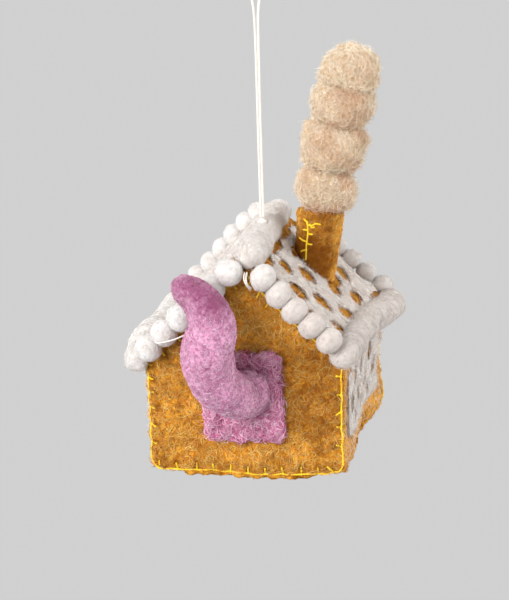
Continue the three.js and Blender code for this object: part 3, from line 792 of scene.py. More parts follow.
def fibre_coat_tree():
    """Geometry nodes that scatter fibres where the skin's coat attribute says, and join them to it."""
    tree = bpy.data.node_groups.new("fibre_coat", "GeometryNodeTree")
    for name, kind in FIBRE_SOCKETS.items():
        tree.interface.new_socket(name=name, in_out="INPUT", socket_type="NodeSocket" + kind)
    tree.interface.new_socket(name="Coated", in_out="OUTPUT", socket_type="NodeSocketGeometry")
    graph = Graph(tree)
    start = tree.nodes.new("NodeGroupInput")
    given = {name: Socket(graph, start.outputs[name]) for name in FIBRE_SOCKETS}

    def add(kind, sockets=None, settings=None, output=0):
        return graph.add("GeometryNode" + kind, settings, sockets, output)

    def chance(low, high, seed):
        sockets = {2: low, 3: high, 8: given["Seed"] + seed}
        return graph.add("FunctionNodeRandomValue", {"data_type": "FLOAT"}, sockets, 1)

    def stored(geometry, name, kind, value):
        sockets = {"Geometry": geometry, "Name": name, "Value": value}
        return add("StoreNamedAttribute", sockets, {"data_type": kind, "domain": "INSTANCE"})

    def named(name, kind):
        return add("InputNamedAttribute", {"Name": name}, {"data_type": kind})

    middle = add("SplineParameter") * 2.0 - 1.0
    taper = (1.0 - middle * middle * FIBRE_TAPER) * given["Radius"]
    profile = add("CurvePrimitiveCircle", {"Resolution": 3, "Radius": 1.0}, {"mode": "RADIUS"})
    size = graph.add("ShaderNodeCombineXYZ", None, {i: given["Length"] for i in range(3)})
    shapes = []
    for a, b, c, d in FIBRE_SHAPES:
        ends = {"Resolution": 8, "Start": a, "Start Handle": b, "End Handle": c, "End": d}
        sized = add("Transform", {"Geometry": add("CurvePrimitiveBezierSegment", ends), "Scale": size})
        even = add("ResampleCurve", {"Curve": sized, "Count": given["Points"]}, {"mode": "COUNT"})
        strand = add("CurveToMesh", {
            "Curve": even, "Profile Curve": profile, "Scale": taper, "Fill Caps": True,
        })
        shapes.append(add("GeometryToInstance", {"Geometry": strand}))
    density = given["Density"] * named("coat", "FLOAT")
    scatter = {"Mesh": given["Skin"], "Density": density, "Seed": given["Seed"]}
    points = add("DistributePointsOnFaces", scatter, {"distribute_method": "RANDOM"})
    picks = {4: 0, 5: len(FIBRE_SHAPES) - 1, 8: given["Seed"] + 1.0}
    fibres = add("InstanceOnPoints", {
        "Points": points, "Instance": add("JoinGeometry", {"Geometry": shapes}), "Pick Instance": True,
        "Instance Index": graph.add("FunctionNodeRandomValue", {"data_type": "INT"}, picks, 2),
        "Rotation": Socket(graph, points.socket.node.outputs["Rotation"]),
        "Scale": chance(*FIBRE_SCALES, 2.0),
    })
    lean = given["Lean"] + given["Spread"] * chance(-1.0, 1.0, 3.0)
    angles = graph.add("ShaderNodeCombineXYZ", None, {0: lean, 2: chance(0.0, 2 * math.pi, 4.0)})
    turned = graph.add("FunctionNodeEulerToRotation", None, {0: angles})
    laid = add("RotateInstances", {"Instances": fibres, "Rotation": turned, "Local Space": True})
    toned = stored(laid, "tone", "FLOAT", chance(0.0, 1.0, 5.0))
    loose = stored(toned, "loose", "BOOLEAN", True)
    both = add("RealizeInstances", {
        "Geometry": add("JoinGeometry", {"Geometry": [given["Skin"], loose]}),
    })
    done = add("SetMaterial", {
        "Geometry": both, "Selection": named("loose", "BOOLEAN"), "Material": given["Finish"],
    })
    graph.add("NodeGroupOutput", None, {"Coated": done})
    return tree


FIBRE_COAT = fibre_coat_tree()
FIBRE_SEEDS = iter(range(1, 1000))


def dressed(skin):
    """Grows a skin's loose fibres, joins them to it and sets the piece on the house in its node's place.
    """
    skin.write()
    coat = skin.kind.coat
    values = {
        "Density": float(coat.density / MM ** 2), "Length": float(coat.length * MM),
        "Radius": float(coat.radius * MM), "Lean": math.radians(coat.lean),
        "Spread": math.radians(coat.spread), "Points": coat.points,
        "Seed": next(FIBRE_SEEDS), "Finish": coat.finish,
    }
    grown = skin.obj.modifiers.new("coat", "NODES")
    grown.node_group = FIBRE_COAT
    for item in FIBRE_COAT.interface.items_tree:
        if item.name in values:
            grown[item.identifier] = values[item.name]
    baked(skin.obj)
    skin.obj.data.materials.pop(index=1)
    housed(skin.obj, skin.kind.slot, skin.node)


# The gable walls' outline and the blanket stitch along it.
STITCH_THREAD = 0.72 * MM
STITCH_SPIN = Spin(STITCH_THREAD, 2, 1.5 * MM, 5)
STITCH_INSET = 0.4 * MM
STITCH_LEG = 2.5 * MM
SIDE_LEG_SHARE = 0.65
OUTLINE_POINTS = 520
STITCH_POINTS = 900
LEG_POINTS = 26
WALL_SAG = 1.0 * MM


def gable_outline():
    """Points round a gable wall from the left eave down, across, up and over, and the ways inwards."""
    r = LOWER_CORNER_RADIUS
    side = HALF_WIDTH
    low = WALL_BASE + r
    corners = [(-side, EAVE_HEIGHT), (-side, low)]
    for turn in np.linspace(math.pi, 1.5 * math.pi, 7)[1:]:
        corners.append((r - side + r * math.cos(turn), low + r * math.sin(turn)))
    for turn in np.linspace(1.5 * math.pi, 2 * math.pi, 7):
        corners.append((side - r + r * math.cos(turn), low + r * math.sin(turn)))
    corners += [(side, EAVE_HEIGHT), (0, WALL_APEX), (-side, EAVE_HEIGHT)]
    points = np.array(resampled([Vector((x, 0, z)) for x, z in corners], OUTLINE_POINTS))
    ahead = np.roll(points, -2, 0) - np.roll(points, 2, 0)
    ahead /= np.linalg.norm(ahead, axis=1)[:, None]
    return points, np.stack([-ahead[:, 2], np.zeros(len(points)), ahead[:, 0]], 1)


OUTLINE, INWARDS = gable_outline()


def sagged(points):
    """The foot of the front wall hangs a little lower in its middle."""
    across = np.clip(1 - (points[:, 0] / (30 * MM)) ** 2, 0, 1)
    low = 1 - smooth(WALL_BASE, WALL_BASE + 9 * MM, points[:, 2])
    lowered = points.copy()
    lowered[:, 2] -= WALL_SAG * across * low
    return lowered


def legs_at(bottom, left, right, slopes):
    """Where the stitch's legs start on the outline.

    They are given in millimetres, across for the foot and the slopes, and up for the sides.
    """
    spots = [(x, WALL_BASE / MM) for x in bottom]
    spots += [(-HALF_WIDTH / MM, z) for z in left]
    spots += [(HALF_WIDTH / MM, z) for z in right]
    spots += [(x, WALL_APEX / MM - abs(x) * math.tan(ROOF_ANGLE)) for x in slopes]
    return sorted(int(((OUTLINE - (x * MM, 0, z * MM)) ** 2).sum(1).argmin()) for x, z in spots)


FRONT_LEGS = legs_at(
    [-31.4, -24.5, -17.9, -11.7, -5.9, 0.6, 6.5, 12.9, 19.2, 24.8, 30.6],
    [41.0, 35.9, 30.8, 25.4, 19.2, 12.8],
    [38.2, 31.9, 26.0, 19.9, 13.1],
    [-29, -24, -8, -4, 3, 6.5, 10],
)
BACK_LEGS = legs_at(
    [-30.8, -24.2, -18.1, -11.6, -5.6, 0.4, 6.8, 12.6, 18.9, 25.1, 30.9],
    [38.4, 32.2, 26.1, 20.3, 14.2],
    [39.2, 33.4, 27.0, 21.1, 14.6],
    [-28, -21, -14, -7, 5, 12, 19, 26],
)


def gable_wall(end, side, legs):
    """A gable wall of felt, drawn in along its stitched edge and under the legs of its stitch."""
    skin = even_skin(end + "_wall_felt", end + "_wall", end + "_panel")
    flat = skin.points * (1, 0, 1)
    edge = np.full(len(flat), 1.0)
    for spot in OUTLINE[::2]:
        edge = np.minimum(edge, ((flat - spot) ** 2).sum(1))
    outer = smooth(HALF_DEPTH - FELT, HALF_DEPTH, side * skin.points[:, 1])
    skin.points[:, 1] -= side * outer * MM * bell(np.sqrt(edge), 0, 2 * MM)
    under = [
        OUTLINE[i] + INWARDS[i] * (STITCH_INSET + STITCH_LEG * share)
        for i in legs for share in (0, 0.5, 1)
    ]
    skin.points[:, 1] -= side * outer * 0.5 * MM * nearness(flat, under, 1.1 * MM)
    pinch = nearness(flat, [OUTLINE[i] for i in legs], 1.3 * MM)
    inward = np.array([INWARDS[((OUTLINE - p) ** 2).sum(1).argmin()] for p in flat])
    skin.points += inward * (pinch * 0.6 * MM)[:, None]
    # Painted shade: darker at the roots of the stitch's legs, and right of the patch as the limb's
    # painted shadow. Painted light (lit) near the gable's top thins the felt's own dark spots there.
    roots = nearness(flat, [OUTLINE[i] + INWARDS[i] * STITCH_LEG for i in legs], 1.6 * MM)
    right = smooth(8 * MM, 17 * MM, flat[:, 0]) * smooth(14 * MM, 24 * MM, flat[:, 2])
    right *= 1 - smooth(46 * MM, 56 * MM, flat[:, 2])
    lit = smooth(46 * MM, 58 * MM, flat[:, 2])
    spots = mottled(skin.points, 9) * 0.3 + mottled(skin.points, 2.1, 1.1) * 0.8
    skin.mark("shade", np.maximum(roots * 0.6, right * 0.45) + (1 - lit * 0.7) * spots)
    if side < 0:
        skin.points = sagged(skin.points)
    skin.rough()
    skin.mark("coat", skin.facing((0, side, 0)))
    skin.write()
    return skin


def laid_on(tree, x, z, side):
    """The depth at which a wall's outer face lies behind a point of its elevation."""
    start = Vector((x, side * (HALF_DEPTH + 6 * MM), z))
    hit = tree.ray_cast(start, Vector((0, -side, 0)), 9 * MM)[0]
    return hit.y if hit else side * (HALF_DEPTH - 0.8 * MM)


def blanket_stitch(end, side, legs, wall):
    """Yellow thread along the outline, with a leg into the felt at each stitch."""
    tree = wall.tree()
    thread = STITCH_THREAD / 2
    wander = np.array([noise.noise((i * 0.13, side, 4.2)) for i in range(len(OUTLINE))])
    pulled = nearness(OUTLINE, [OUTLINE[i] for i in legs], 1.2 * MM)
    line = OUTLINE + INWARDS * (STITCH_INSET + 0.35 * MM * wander + 0.25 * MM * pulled)[:, None]
    if side < 0:
        line = sagged(line)
    depths = np.array([laid_on(tree, p[0], p[2], side) for p in line])
    depths = np.convolve(np.pad(depths, 2, "wrap"), np.ones(5) / 5, "valid")
    line[:, 1] = depths + side * thread * 0.7
    seam = [Vector(p) for p in line[3:-3]]
    parts = [twisted(resampled(seam, STITCH_POINTS), STITCH_SPIN)]
    for count, index in enumerate(legs):
        lean = noise.noise((count * 1.7, side * 3.1, 0.5))
        root = Vector(line[index])
        inward = Vector(INWARDS[index])
        along = Vector((inward.z, 0, -inward.x))
        reach = STITCH_LEG * (1 + 0.35 * noise.noise((count * 2.3, 7.7, side)))
        if abs(inward.x) > 0.9:
            reach *= SIDE_LEG_SHARE
        path = [root - inward * 0.5 * MM + Vector((0, side * thread * 0.4, 0))]
        for share in (0.15, 0.4, 0.7, 0.95):
            spot = root + inward * reach * share + along * reach * share * lean * 0.9
            spot.y = laid_on(tree, spot.x, spot.z, side) + side * thread * (0.9 - 0.5 * share)
            path.append(spot)
        path.append(path[-1] + inward * 0.3 * MM - Vector((0, side * 1.2 * MM, 0)))
        parts.append(twisted(resampled(spline(path, 4), LEG_POINTS), STITCH_SPIN))
    sewn(end + "_stitch", parts, YELLOW, "yellow_thread", end + "_blanket_stitch")


front_wall = gable_wall("front", -1, FRONT_LEGS)
back_wall = gable_wall("back", 1, BACK_LEGS)
blanket_stitch("front", -1, FRONT_LEGS, front_wall)
blanket_stitch("back", 1, BACK_LEGS, back_wall)
dressed(front_wall)
dressed(back_wall)

HANDS = {"right": 1, "left": -1}


def roof_normal(hand):
    return (hand * math.sin(ROOF_ANGLE), 0, math.cos(ROOF_ANGLE))


def side_felt(side, hand):
    """A side wall and the roof slope over it."""
    wall = even_skin(side + "_wall_felt", "side_wall", side + "_wall")
    wall.rough()
    wall.points[:, 1] *= 1.014
    wall.mark("shade", mottled(wall.points, 6, 2) * 0.7)
    wall.mark("coat", wall.facing((hand, 0, 0)))
    dressed(wall)
    roof = even_skin(side + "_roof_felt", "roof", side + "_roof_panel")
    roof.rough()
    roof.mark("shade", 0.3 + mottled(roof.points, 3.5, 1.6))
    roof.mark("coat", roof.facing(roof_normal(hand), 0.2, 0.6))
    dressed(roof)


def floor_felt():
    """The floor, whose rim is thin at the corners and swells out between the stitches."""
    skin = even_skin("floor_felt", "floor", "floor_panel")
    # These follow the points as they move.
    x, y, z = skin.points.T
    stitches = [OUTLINE[i][0] for i in FRONT_LEGS if OUTLINE[i][2] < WALL_BASE + 1 * MM]
    gap = np.abs(x[:, None] - np.array(stitches)).min(1)
    front = smooth(HALF_DEPTH - 5 * MM, HALF_DEPTH, -y)
    swell = smooth(0, 2.6 * MM, gap)
    under = 1 - np.clip(z / FELT, 0, 1)
    y -= front * (1.1 * swell - 1.6 + 0.8 * lumps(skin.points, 7 * MM, 2)) * MM
    z += front * (1.7 - 0.5 * swell) * under * MM
    aside = (np.abs(x) - HALF_WIDTH) / (10 * MM)
    along = (np.abs(y) - HALF_DEPTH) / (14 * MM)
    corner = np.exp(-(aside ** 2 + along ** 2)) * np.where(y < 0, 1, 0.3)
    x -= np.sign(x) * corner * 4.2 * MM
    y -= np.sign(y) * corner * 3.6 * MM
    z += corner * 2.0 * under * MM
    sides = smooth(HALF_WIDTH - 5 * MM, HALF_WIDTH, np.abs(x))
    x += np.sign(x) * sides * (0.6 * lumps(skin.points, 5 * MM, 3) - 0.6) * MM
    skin.mark("shade", 0.2 + mottled(skin.points, 5, 2))
    skin.rough()
    rim = skin.facing((0, 0, 1), -0.6, -0.2) * 0.8
    skin.mark("coat", np.maximum(skin.facing((0, 0, -1)), rim))
    dressed(skin)


for side, hand in HANDS.items():
    side_felt(side, hand)
floor_felt()

# White wool: rolls, beads and nets. Each roll's node, how much thicker it is and how far back, its
# painted shade, and where threads of wool wrap round it, in millimetres from the middle of its length.
ROLL_WRAPS = [-25.5, -22.8, -20.6, -18.1, -15.0, 8, 11, 19]
ROLLS = {
    "ridge_wool_roll": ("ridge_roll", 1.1, -20, 0.3, ROLL_WRAPS),
    "left_eave_wool_roll": ("left_eave_roll", 1.9, -19, 0.0, []),
    "right_eave_wool_roll": ("right_eave_roll", 0.4, 10, 0.55, []),
}


def wool_roll(name, node, swell, place, shade, wraps):
    """A roll of soft wool, thicker at one place and grooved where it is wrapped."""
    skin = even_skin(name, "roll", node)
    skin.rough()
    along = skin.points[:, 1] + 0.35 * skin.points[:, 0]
    skin.push(swell * MM * bell(skin.points[:, 1], place * MM, 9 * MM))
    for wrap in wraps:
        skin.push(-0.35 * MM * bell(along, wrap * MM, 0.55 * MM))
    # Painted shade, most on the right eave roll away from the light, over the wool's own dark spots.
    skin.mark_all(shade + mottled(skin.points, 5, 2) * 0.25)
    dressed(skin)


for name, values in ROLLS.items():
    wool_roll(name, *values)


def slope_place(hand, along, lift, back):
    """A point of a roof slope in the house's frame."""
    return np.array([
        hand * (along * math.cos(ROOF_ANGLE) + lift * math.sin(ROOF_ANGLE)), back,
        ROOF_UNDERSIDE - along * math.sin(ROOF_ANGLE) + lift * math.cos(ROOF_ANGLE),
    ])


# Each row's side and end, the beads' radius, their pitch, how far down the slope they start, their
# lift off the roof's underside, and how many they are.
BEAD_ROWS = {
    "front_left": (-1, -1, 4.5 * MM, 7.7 * MM, 2.3 * MM, 2.9 * MM, 6),
    "front_right": (1, -1, 4.5 * MM, 7.7 * MM, 6.4 * MM, 5.0 * MM, 5),
    "back_left": (-1, 1, 3.6 * MM, 6.9 * MM, 6 * MM, 4.8 * MM, 6),
    "back_right": (1, 1, 3.6 * MM, 6.9 * MM, 9.2 * MM, 4.8 * MM, 6),
}
# By how much the back beads are larger than their solids, left and right.
BACK_FULLNESS = {-1: 1.16, 1: 1.05}
BEAD_SCALE = (0.93, 1.02, 1.02)
RIDGE_LINE = (mm(2.2, -33.7, 79.47), mm(-0.2, 33.7, 77.87), 4.9 * MM)
EAVE_ALONG = (HALF_WIDTH - 1 * MM) / math.cos(ROOF_ANGLE) + 0.8 * MM
EAVE_LIFT = 2.8 * MM
EAVE_SLANT = mm(-1.4, -35.8, 1.7)
EAVE_RADIUS = 4.8 * MM


def eave_line(hand):
    """The two ends of an eave roll's axis, and its radius."""
    eave = slope_place(hand, EAVE_ALONG, EAVE_LIFT, 0)
    slant = EAVE_SLANT * (1, hand, 1)
    return eave + hand * slant, eave - hand * slant, EAVE_RADIUS


ROLL_LINES = [RIDGE_LINE, eave_line(-1), eave_line(1)]


def in_rolls(points):
    """Which points are inside the ridge roll or an eave roll."""
    hit = np.zeros(len(points), bool)
    for start, end, radius in ROLL_LINES:
        line = end - start
        share = np.clip((points - start) @ line / (line @ line), 0, 1)
        hit |= ((points - start - share[:, None] * line) ** 2).sum(1) < radius ** 2
    return hit


def bead_row(row, hand, end, radius, pitch, start, lift, count):
    """Felt beads pressed together down one rake."""
    out = end * (HALF_DEPTH + SEAM_GAP + radius)
    turn = Matrix.Rotation(hand * ROOF_ANGLE, 3, "Y")
    fullness = BACK_FULLNESS[hand] if end > 0 else 1
    darkening = 0.4 if end > 0 else 0.7
    for index in range(count):
        node = f"{row}_bead_{index + 1}"
        centre = slope_place(hand, start + index * pitch, lift, out)
        size = radius * fullness * (1 + 0.035 * noise.noise((index * 3.7, hand, end * 2.2)))
        scale = [size * share for share in BEAD_SCALE]
        skin = ball_skin(node + "_felt", "bead", node, centre, scale, turn)
        skin.rough()
        pressed(skin, centre, in_rolls)
        # Painted shade: the beads darken the further right they sit, away from the light, less in the
        # back rows.
        skin.mark_all(smooth(-8 * MM, 28 * MM, skin.points[:, 0]) * darkening)
        dressed(skin)


for row, values in BEAD_ROWS.items():
    bead_row(row, *values)


def wool_net(place, out, foot, bulge, darkening, drop):
    """A net of white wool needled on to felt: thin strands that wander and swell under loose fibres."""
    skin = even_skin(place + "_wool_net", "net", place + "_net")
    out = np.array(out)
    heights = skin.points @ out
    skin.points -= np.outer(heights - heights.min(), out) * 0.7
    aside = skin.normals()
    aside -= np.outer(aside @ out, out)
    middle = (skin.points.max(0) + skin.points.min(0)) / 2
    skin.points = middle + (skin.points - middle) * (1.06, 1.11, 1.06)
    skin.points -= aside * (2.6 + 0.9 * lumps(skin.points, 7 * MM, 12))[:, None] * MM
    stir = stirred(skin.points, 8 * MM, 2) * 2.2 * MM + stirred(skin.points, 2.6 * MM, 5) * 0.9 * MM
    skin.points += stir - np.outer(stir @ out, out)
    low = skin.points[:, 2].min()
    skin.points[:, 2] += foot * (1 - smooth(0, 14 * MM, skin.points[:, 2] - low))
    skin.points += np.outer(bell(skin.points[:, 1], -32 * MM, 11 * MM) * bulge, out)
    skin.points += np.array([out[2], 0, -out[0]]) * (drop if out[0] > 0 else -drop)
    skin.rough()
    skin.mark("shade", mottled(skin.points, 4, 1.8) * darkening)
    skin.mark("coat", skin.facing(out, -0.3, 0.1))
    dressed(skin)


for side, hand in HANDS.items():
    wool_net(side + "_roof", roof_normal(hand), foot=0, bulge=0, darkening=0.7, drop=1.3 * MM)
    bulge = (1 - hand) * 0.7 * MM
    wool_net(side + "_wall", (hand, 0, 0), foot=2.4 * MM, bulge=bulge, darkening=0.3, drop=0)

# The chimney and its seam.
CHIMNEY_LEAN = math.radians(6.4)
CHIMNEY_HEIGHT = 20.4 * MM
CHIMNEY_FOOT_RADIUS = 7.4 * MM
CHIMNEY_RIM_RADIUS = 8.4 * MM
CHIMNEY_ASIDE = 16.6 * MM
CHIMNEY_BACK = 12 * MM
CHIMNEY_FOOT = np.array([
    CHIMNEY_ASIDE, CHIMNEY_BACK, ROOF_TOP - CHIMNEY_ASIDE * math.tan(ROOF_ANGLE),
])
CHIMNEY_RISE = np.array([math.sin(CHIMNEY_LEAN), 0, math.cos(CHIMNEY_LEAN)])
SEAM_TURN = math.radians(-19)


def chimney_felt():
    """A rolled tube of felt whose rim stands up in front."""
    skin = even_skin("chimney_felt", "chimney", "chimney_tube")
    offset = skin.points - CHIMNEY_FOOT
    rim = smooth(CHIMNEY_HEIGHT - 5 * MM, CHIMNEY_HEIGHT, offset @ CHIMNEY_RISE)
    front = smooth(0, 7 * MM, -offset[:, 1])
    raised = rim * (lumps(skin.points, 5 * MM, 8) * 0.9 + front * 1.9) * MM
    skin.points += np.outer(raised, CHIMNEY_RISE)
    skin.rough()
    spoke = skin.points - CHIMNEY_FOOT
    spoke -= np.outer(spoke @ CHIMNEY_RISE, CHIMNEY_RISE)
    # Painted light and shade: darker all over, a painted shadow at the foot's front left, where the felt
    # is also browner, painted light near the top at the left (lit) and a painted rim light down the
    # right (edge).
    corner = nearness(skin.points, [CHIMNEY_FOOT + mm(-5, -6, 3)], 8 * MM)
    lit = nearness(skin.points, [CHIMNEY_FOOT + mm(-5, -5, 19)], 7 * MM)
    edge = smooth(5 * MM, CHIMNEY_FOOT_RADIUS, spoke[:, 0])
    darkening = 0.62 + corner - 0.65 * lit - 0.8 * edge
    skin.mark("shade", darkening + mottled(skin.points, 5, 1.2) * 0.8)
    skin.mark("coat", smooth(5.2 * MM, 6.4 * MM, np.linalg.norm(spoke, axis=1)))
    skin.write()
    return skin


def chimney_spot(tree, across, up):
    """A point of the chimney's outside, by its distance across from the seam and its height."""
    turn = SEAM_TURN + across / CHIMNEY_RIM_RADIUS
    out = Matrix.Rotation(CHIMNEY_LEAN, 3, "Y") @ Vector((math.sin(turn), -math.cos(turn), 0))
    axis = Vector(CHIMNEY_FOOT) + Vector(CHIMNEY_RISE) * up
    hit = tree.ray_cast(axis + out * 14 * MM, -out, 14 * MM)[0]
    return (hit or axis + out * CHIMNEY_FOOT_RADIUS) + out * STITCH_THREAD * 0.3


# The seam's threads, as across and up in millimetres from the seam line and the chimney's foot.
SEAM_THREADS = [
    [(0.2, 4.6), (0.0, 7.5), (-0.2, 10.5), (0.1, 13.5), (0.0, 16.2), (-0.2, 18.3)],
    [(-0.1, 17.6), (-0.9, 18.6), (-1.6, 19.0)],
    [(0.0, 17.4), (1.4, 17.3), (2.8, 18.2), (4.3, 18.0)],
    [(0.9, 17.3), (1.6, 16.6), (2.4, 16.9)],
    [(0.0, 15.2), (-0.8, 15.3), (-1.7, 15.1)],
    [(0.1, 14.2), (0.9, 14.0), (1.8, 14.1)],
    [(0.0, 11.0), (-1.6, 11.1), (-3.4, 11.5)],
    [(0.0, 10.4), (0.9, 10.2), (1.9, 10.3)],
    [(0.1, 7.9), (-1.0, 7.6), (-2.4, 6.9)],
]


def chimney_seam(tree):
    parts = []
    for thread in SEAM_THREADS:
        line = spline([chimney_spot(tree, x * MM, z * MM) for x, z in thread], 5)
        line = [line[0] - (line[1] - line[0]), *line, line[-1] + (line[-1] - line[-2])]
        parts.append(twisted(resampled(line, 12 * len(thread)), STITCH_SPIN))
    sewn("chimney_seam_thread", parts, YELLOW, "yellow_thread", "chimney_seam_stitch")


chimney = chimney_felt()
chimney_seam(chimney.tree())
dressed(chimney)

PLUME_LEAN = math.radians(13.4)
PLUME_RISE = np.array([math.sin(PLUME_LEAN), 0, math.cos(PLUME_LEAN)])
# Each puff's height over the chimney along the plume, its radius and its half height, in millimetres.
PUFFS = [(9.9, 9.8, 9.6), (25.2, 10.9, 10.6), (40.0, 10.0, 9.9), (51.9, 9.3, 7.6)]
PUFF_FULLNESS = 2.15
# The right front side of each puff, away from the light, which gets painted shade.
PUFF_SHADED_SIDE = np.array([0.5, -0.8, 0])


def plume():
    """Four puffs of loose wool, whose fibres bridge the creases between them."""
    turn = Matrix.Rotation(PLUME_LEAN, 3, "Y")
    for index, (rise, radius, height) in enumerate(PUFFS):
        name = f"smoke_puff_{index + 1}"
        top = index == len(PUFFS) - 1
        centre = CHIMNEY_FOOT + CHIMNEY_RISE * CHIMNEY_HEIGHT + PLUME_RISE * rise * MM
        scale = mm(radius, radius, height)
        skin = ball_skin(name + "_wool", "puff", name, centre, scale, turn, PUFF_FULLNESS)
        skin.rough()
        # Painted shade, in patches, in the creases and on the shaded side, where the wool is also a
        # little browner. The top puff is a little lighter.
        level = (skin.points - centre) @ PLUME_RISE / height / MM
        level = smooth(0.3, 0.8, np.maximum(-level, 0 if top else level))
        turned = (skin.points - centre) @ PUFF_SHADED_SIDE / radius / MM
        darkening = smooth(-0.25, 0.35, lumps(skin.points, 6 * MM, 9 + index))
        darkening *= np.maximum(level, 0.35 * smooth(0, 0.8, turned)) * smooth(-0.3, 0.5, turned)
        skin.mark_all(darkening * 0.9 + mottled(skin.points, 4, 1.6) * 0.2 - 0.1 * top)
        dressed(skin)


plume()

# The door patch and the limb.
PATCH_HALF_WIDTH = 14 * MM
PATCH_HALF_HEIGHT = 16.5 * MM
PATCH_CENTRE = mm(0, -36.3, 30.1)


def door_patch():
    """Needled wool with a raised, rounded rim and a pitted middle."""
    skin = even_skin("door_patch_wool", "patch", "door_patch")
    offset = np.abs(skin.points - PATCH_CENTRE)
    inset = np.minimum(PATCH_HALF_WIDTH - offset[:, 0], PATCH_HALF_HEIGHT - offset[:, 2])
    outer = smooth(0.2 * MM, 1.2 * MM, PATCH_CENTRE[1] - skin.points[:, 1])
    skin.points[:, 1] -= outer * bell(inset, 2.4 * MM, 1.7 * MM) * 1.5 * MM
    skin.points = PATCH_CENTRE + (skin.points - PATCH_CENTRE) * (0.96, 1, 0.93) + (0, 0, 1.0 * MM)
    low_right = PATCH_CENTRE + mm(14, 0, -14)
    skin.points[:, 0] += 1.0 * MM * nearness(skin.points, [low_right], 13 * MM)
    skin.points += stirred(skin.points, 6 * MM, 4) * 0.6 * MM * (1, 0, 1)
    skin.rough()
    # The limb's painted shadow right of and above its root, where the patch also has dark curly strands.
    spot = (skin.points - PATCH_CENTRE - mm(8.5, 0, 6.5)) * (1, 0, 1)
    limb_shadow_and_swirl = bell(np.linalg.norm(spot, axis=1), 2 * MM, 6 * MM)
    skin.mark("shade", limb_shadow_and_swirl * 0.5 + mottled(skin.points, 3.5, 1.5) * 0.6)
    skin.mark("coat", skin.facing((0, -1, 0)))
    dressed(skin)


door_patch()

# The limb's centreline as across, out and up in millimetres from its root, and its radius.
LIMB_ROOT = np.array([0, -36, 32.2])
LIMB_PATH = [
    (1.6, 0.4, 0.8, 9.6), (1.2, 2.4, 1.0, 8.3), (-0.4, 6.0, 1.0, 7.8),
    (-1.4, 9.6, 2.0, 7.9), (-4.4, 14.6, 6.4, 8.0), (-7.0, 17.8, 12.0, 8.4),
    (-7.6, 20.0, 20.8, 8.8), (-5.7, 20.0, 29.6, 7.9), (-8.8, 19.0, 36.8, 6.5),
    (-13.8, 18.0, 41.0, 5.2), (-18.0, 17.5, 42.1, 4.2), (-19.6, 17.3, 42.0, 3.4),
]
LIMB_RINGS = 130
LIMB_SIDES = 44
# Three spots of the house's frame at the limb's bend, round which it is darkest.
LIMB_WORN = [mm(-11, -59, 79), mm(-7, -60, 76.5), mm(-3, -59, 72)]


def limb():
    """A solid limb of needled wool that comes out of the patch, turns up and bends over at its tip."""
    path = spline([(LIMB_ROOT + (x, -out, up)) * MM for x, out, up, radius in LIMB_PATH], 12)
    widths = spline([(radius * MM, 0, 0) for x, out, up, radius in LIMB_PATH], 12)
    total = length_of(path)
    shares = np.linspace(0, 1, LIMB_RINGS)
    steps = np.cumsum([0] + [(b - a).length for a, b in zip(path, path[1:])]) / total
    radii = np.interp(shares, steps, [w.x for w in widths])
    tip = radii[-1]
    left = (1 - shares) * total
    radii *= np.where(left < tip, np.sqrt(np.clip(1 - (1 - left / tip) ** 2, 0, 1)), 1)
    verts, faces = sweep(resampled(path, LIMB_RINGS), radii.tolist(), LIMB_SIDES)
    skin = Skin(house_object("limb_wool", verts, faces, LIMB), KINDS["limb"], "limb")
    skin.rough()
    darkening = nearness(skin.points, LIMB_WORN, 5 * MM) * 0.85
    darkening = darkening + 0.32 * smooth(58 * MM, 74 * MM, skin.points[:, 2])
    skin.mark("shade", darkening + mottled(skin.points, 6) * 0.15 + mottled(skin.points, 2.0, 1.0) * 0.5)
    skin.mark("coat", smooth(0.5 * MM, 1.5 * MM, PATCH_CENTRE[1] - skin.points[:, 1]))
    dressed(skin)


limb()

# Ends of cream thread that hang loose in front of the roof, in millimetres of the house's frame.
LOOSE_ENDS = [
    [(1.4, -40, 75.2), (2.0, -43.6, 74.6), (2.7, -44.2, 73.0), (3.5, -43.0, 71.2), (3.9, -41.6, 70.0)],
    [(2.2, -40, 75.4), (2.8, -43.8, 74.6), (3.3, -44.4, 72.8), (3.7, -43.0, 71.6), (4.4, -41.8, 70.6)],
    [(-28.4, -43, 52), (-26.4, -46, 52.4), (-21.9, -46.6, 53.6), (-18.4, -45.4, 54.8), (-17, -41, 54.8)],
]
LOOSE_SPIN = Spin(0.66 * MM, 2, 1.6 * MM, 5)
LOOSE_POINTS = 60


def loose_ends():
    lines = [spline([Vector(p) * MM for p in end], 6) for end in LOOSE_ENDS]
    parts = [twisted(resampled(line, LOOSE_POINTS), LOOSE_SPIN) for line in lines]
    sewn("loose_thread_ends", parts, TWINE, "cotton_twine")


def stuffing():
    skin = even_skin("stuffing_wool", "stuffing", "stuffing")
    skin.rough()
    skin.write()
    housed(skin.obj, skin.kind.slot, skin.node)


loose_ends()
stuffing()

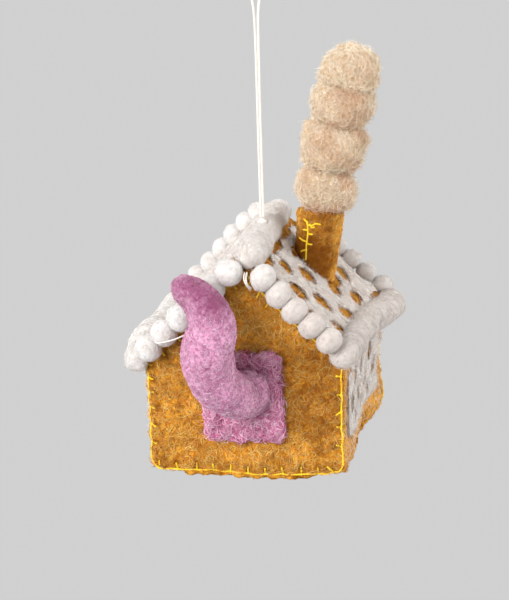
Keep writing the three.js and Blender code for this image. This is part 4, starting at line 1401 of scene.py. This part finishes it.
# Soft studio light, a pale floor far below and a backdrop of the same grey. Each sun's strength, the
# angle it spans and where it stands.
BACKDROP = rgb(208, 208, 208)
SKY_LEVEL = 0.9
SUNS = {
    "window_light": (3.1, 34, Vector((-0.5, -0.85, 0.45))),
    "fill_light": (2.1, 40, Vector((0.95, 0.2, 0.1))),
}
# The suns are wide, so they light the floor a little more than their middles would.
WIDE_SUN_GAIN = 1.012
FLOOR_DROP = 0.6
FLOOR_REACH = 12


def make_light():
    for name, (level, spread, source) in SUNS.items():
        sun = bpy.data.lights.new(name, "SUN")
        sun.energy = level
        sun.angle = math.radians(spread)
        lamp = linked(name, sun)
        lamp.matrix_world = source.to_track_quat("Z", "Y").to_matrix().to_4x4()
    world = bpy.data.worlds.new("studio")
    bpy.context.scene.world = world
    world.use_nodes = True
    world.node_tree.nodes.clear()
    graph = Graph(world.node_tree)
    rays = [
        graph.add("ShaderNodeLightPath", output=f"Is {kind} Ray")
        for kind in ("Camera", "Glossy", "Transmission")
    ]
    backdrop = graph.add("ShaderNodeBackground", None, {"Color": BACKDROP, "Strength": 1.0})
    sky = graph.add("ShaderNodeBackground", None, {"Color": (1, 1, 1, 1), "Strength": SKY_LEVEL})
    shown = rays[0].math("MAXIMUM", rays[1]).math("MAXIMUM", rays[2])
    mixed = graph.add("ShaderNodeMixShader", None, {0: shown, 1: sky, 2: backdrop})
    graph.add("ShaderNodeOutputWorld", None, {"Surface": mixed})


def make_floor():
    """A floor of such a colour that, so lit, it looks like the backdrop and still takes shadows."""
    paint = Paint("pale_floor")
    suns = sum(level / math.pi * source.normalized().z for level, spread, source in SUNS.values())
    light = (SKY_LEVEL + suns) * WIDE_SUN_GAIN
    colour = (*(c / light for c in BACKDROP[:3]), 1.0)
    paint.surface(Base_Color=colour, Roughness=1.0, Specular_IOR_Level=0.0)
    z = HOUSE[2] - FLOOR_DROP
    corners = [(x * FLOOR_REACH, y * FLOOR_REACH, z) for x, y in ((-1, -1), (1, -1), (1, 1), (-1, 1))]
    mesh_object("studio_floor", corners, [(0, 1, 2, 3)], paint.material)


make_light()
make_floor()
bpy.context.scene.view_settings.view_transform = "Standard"
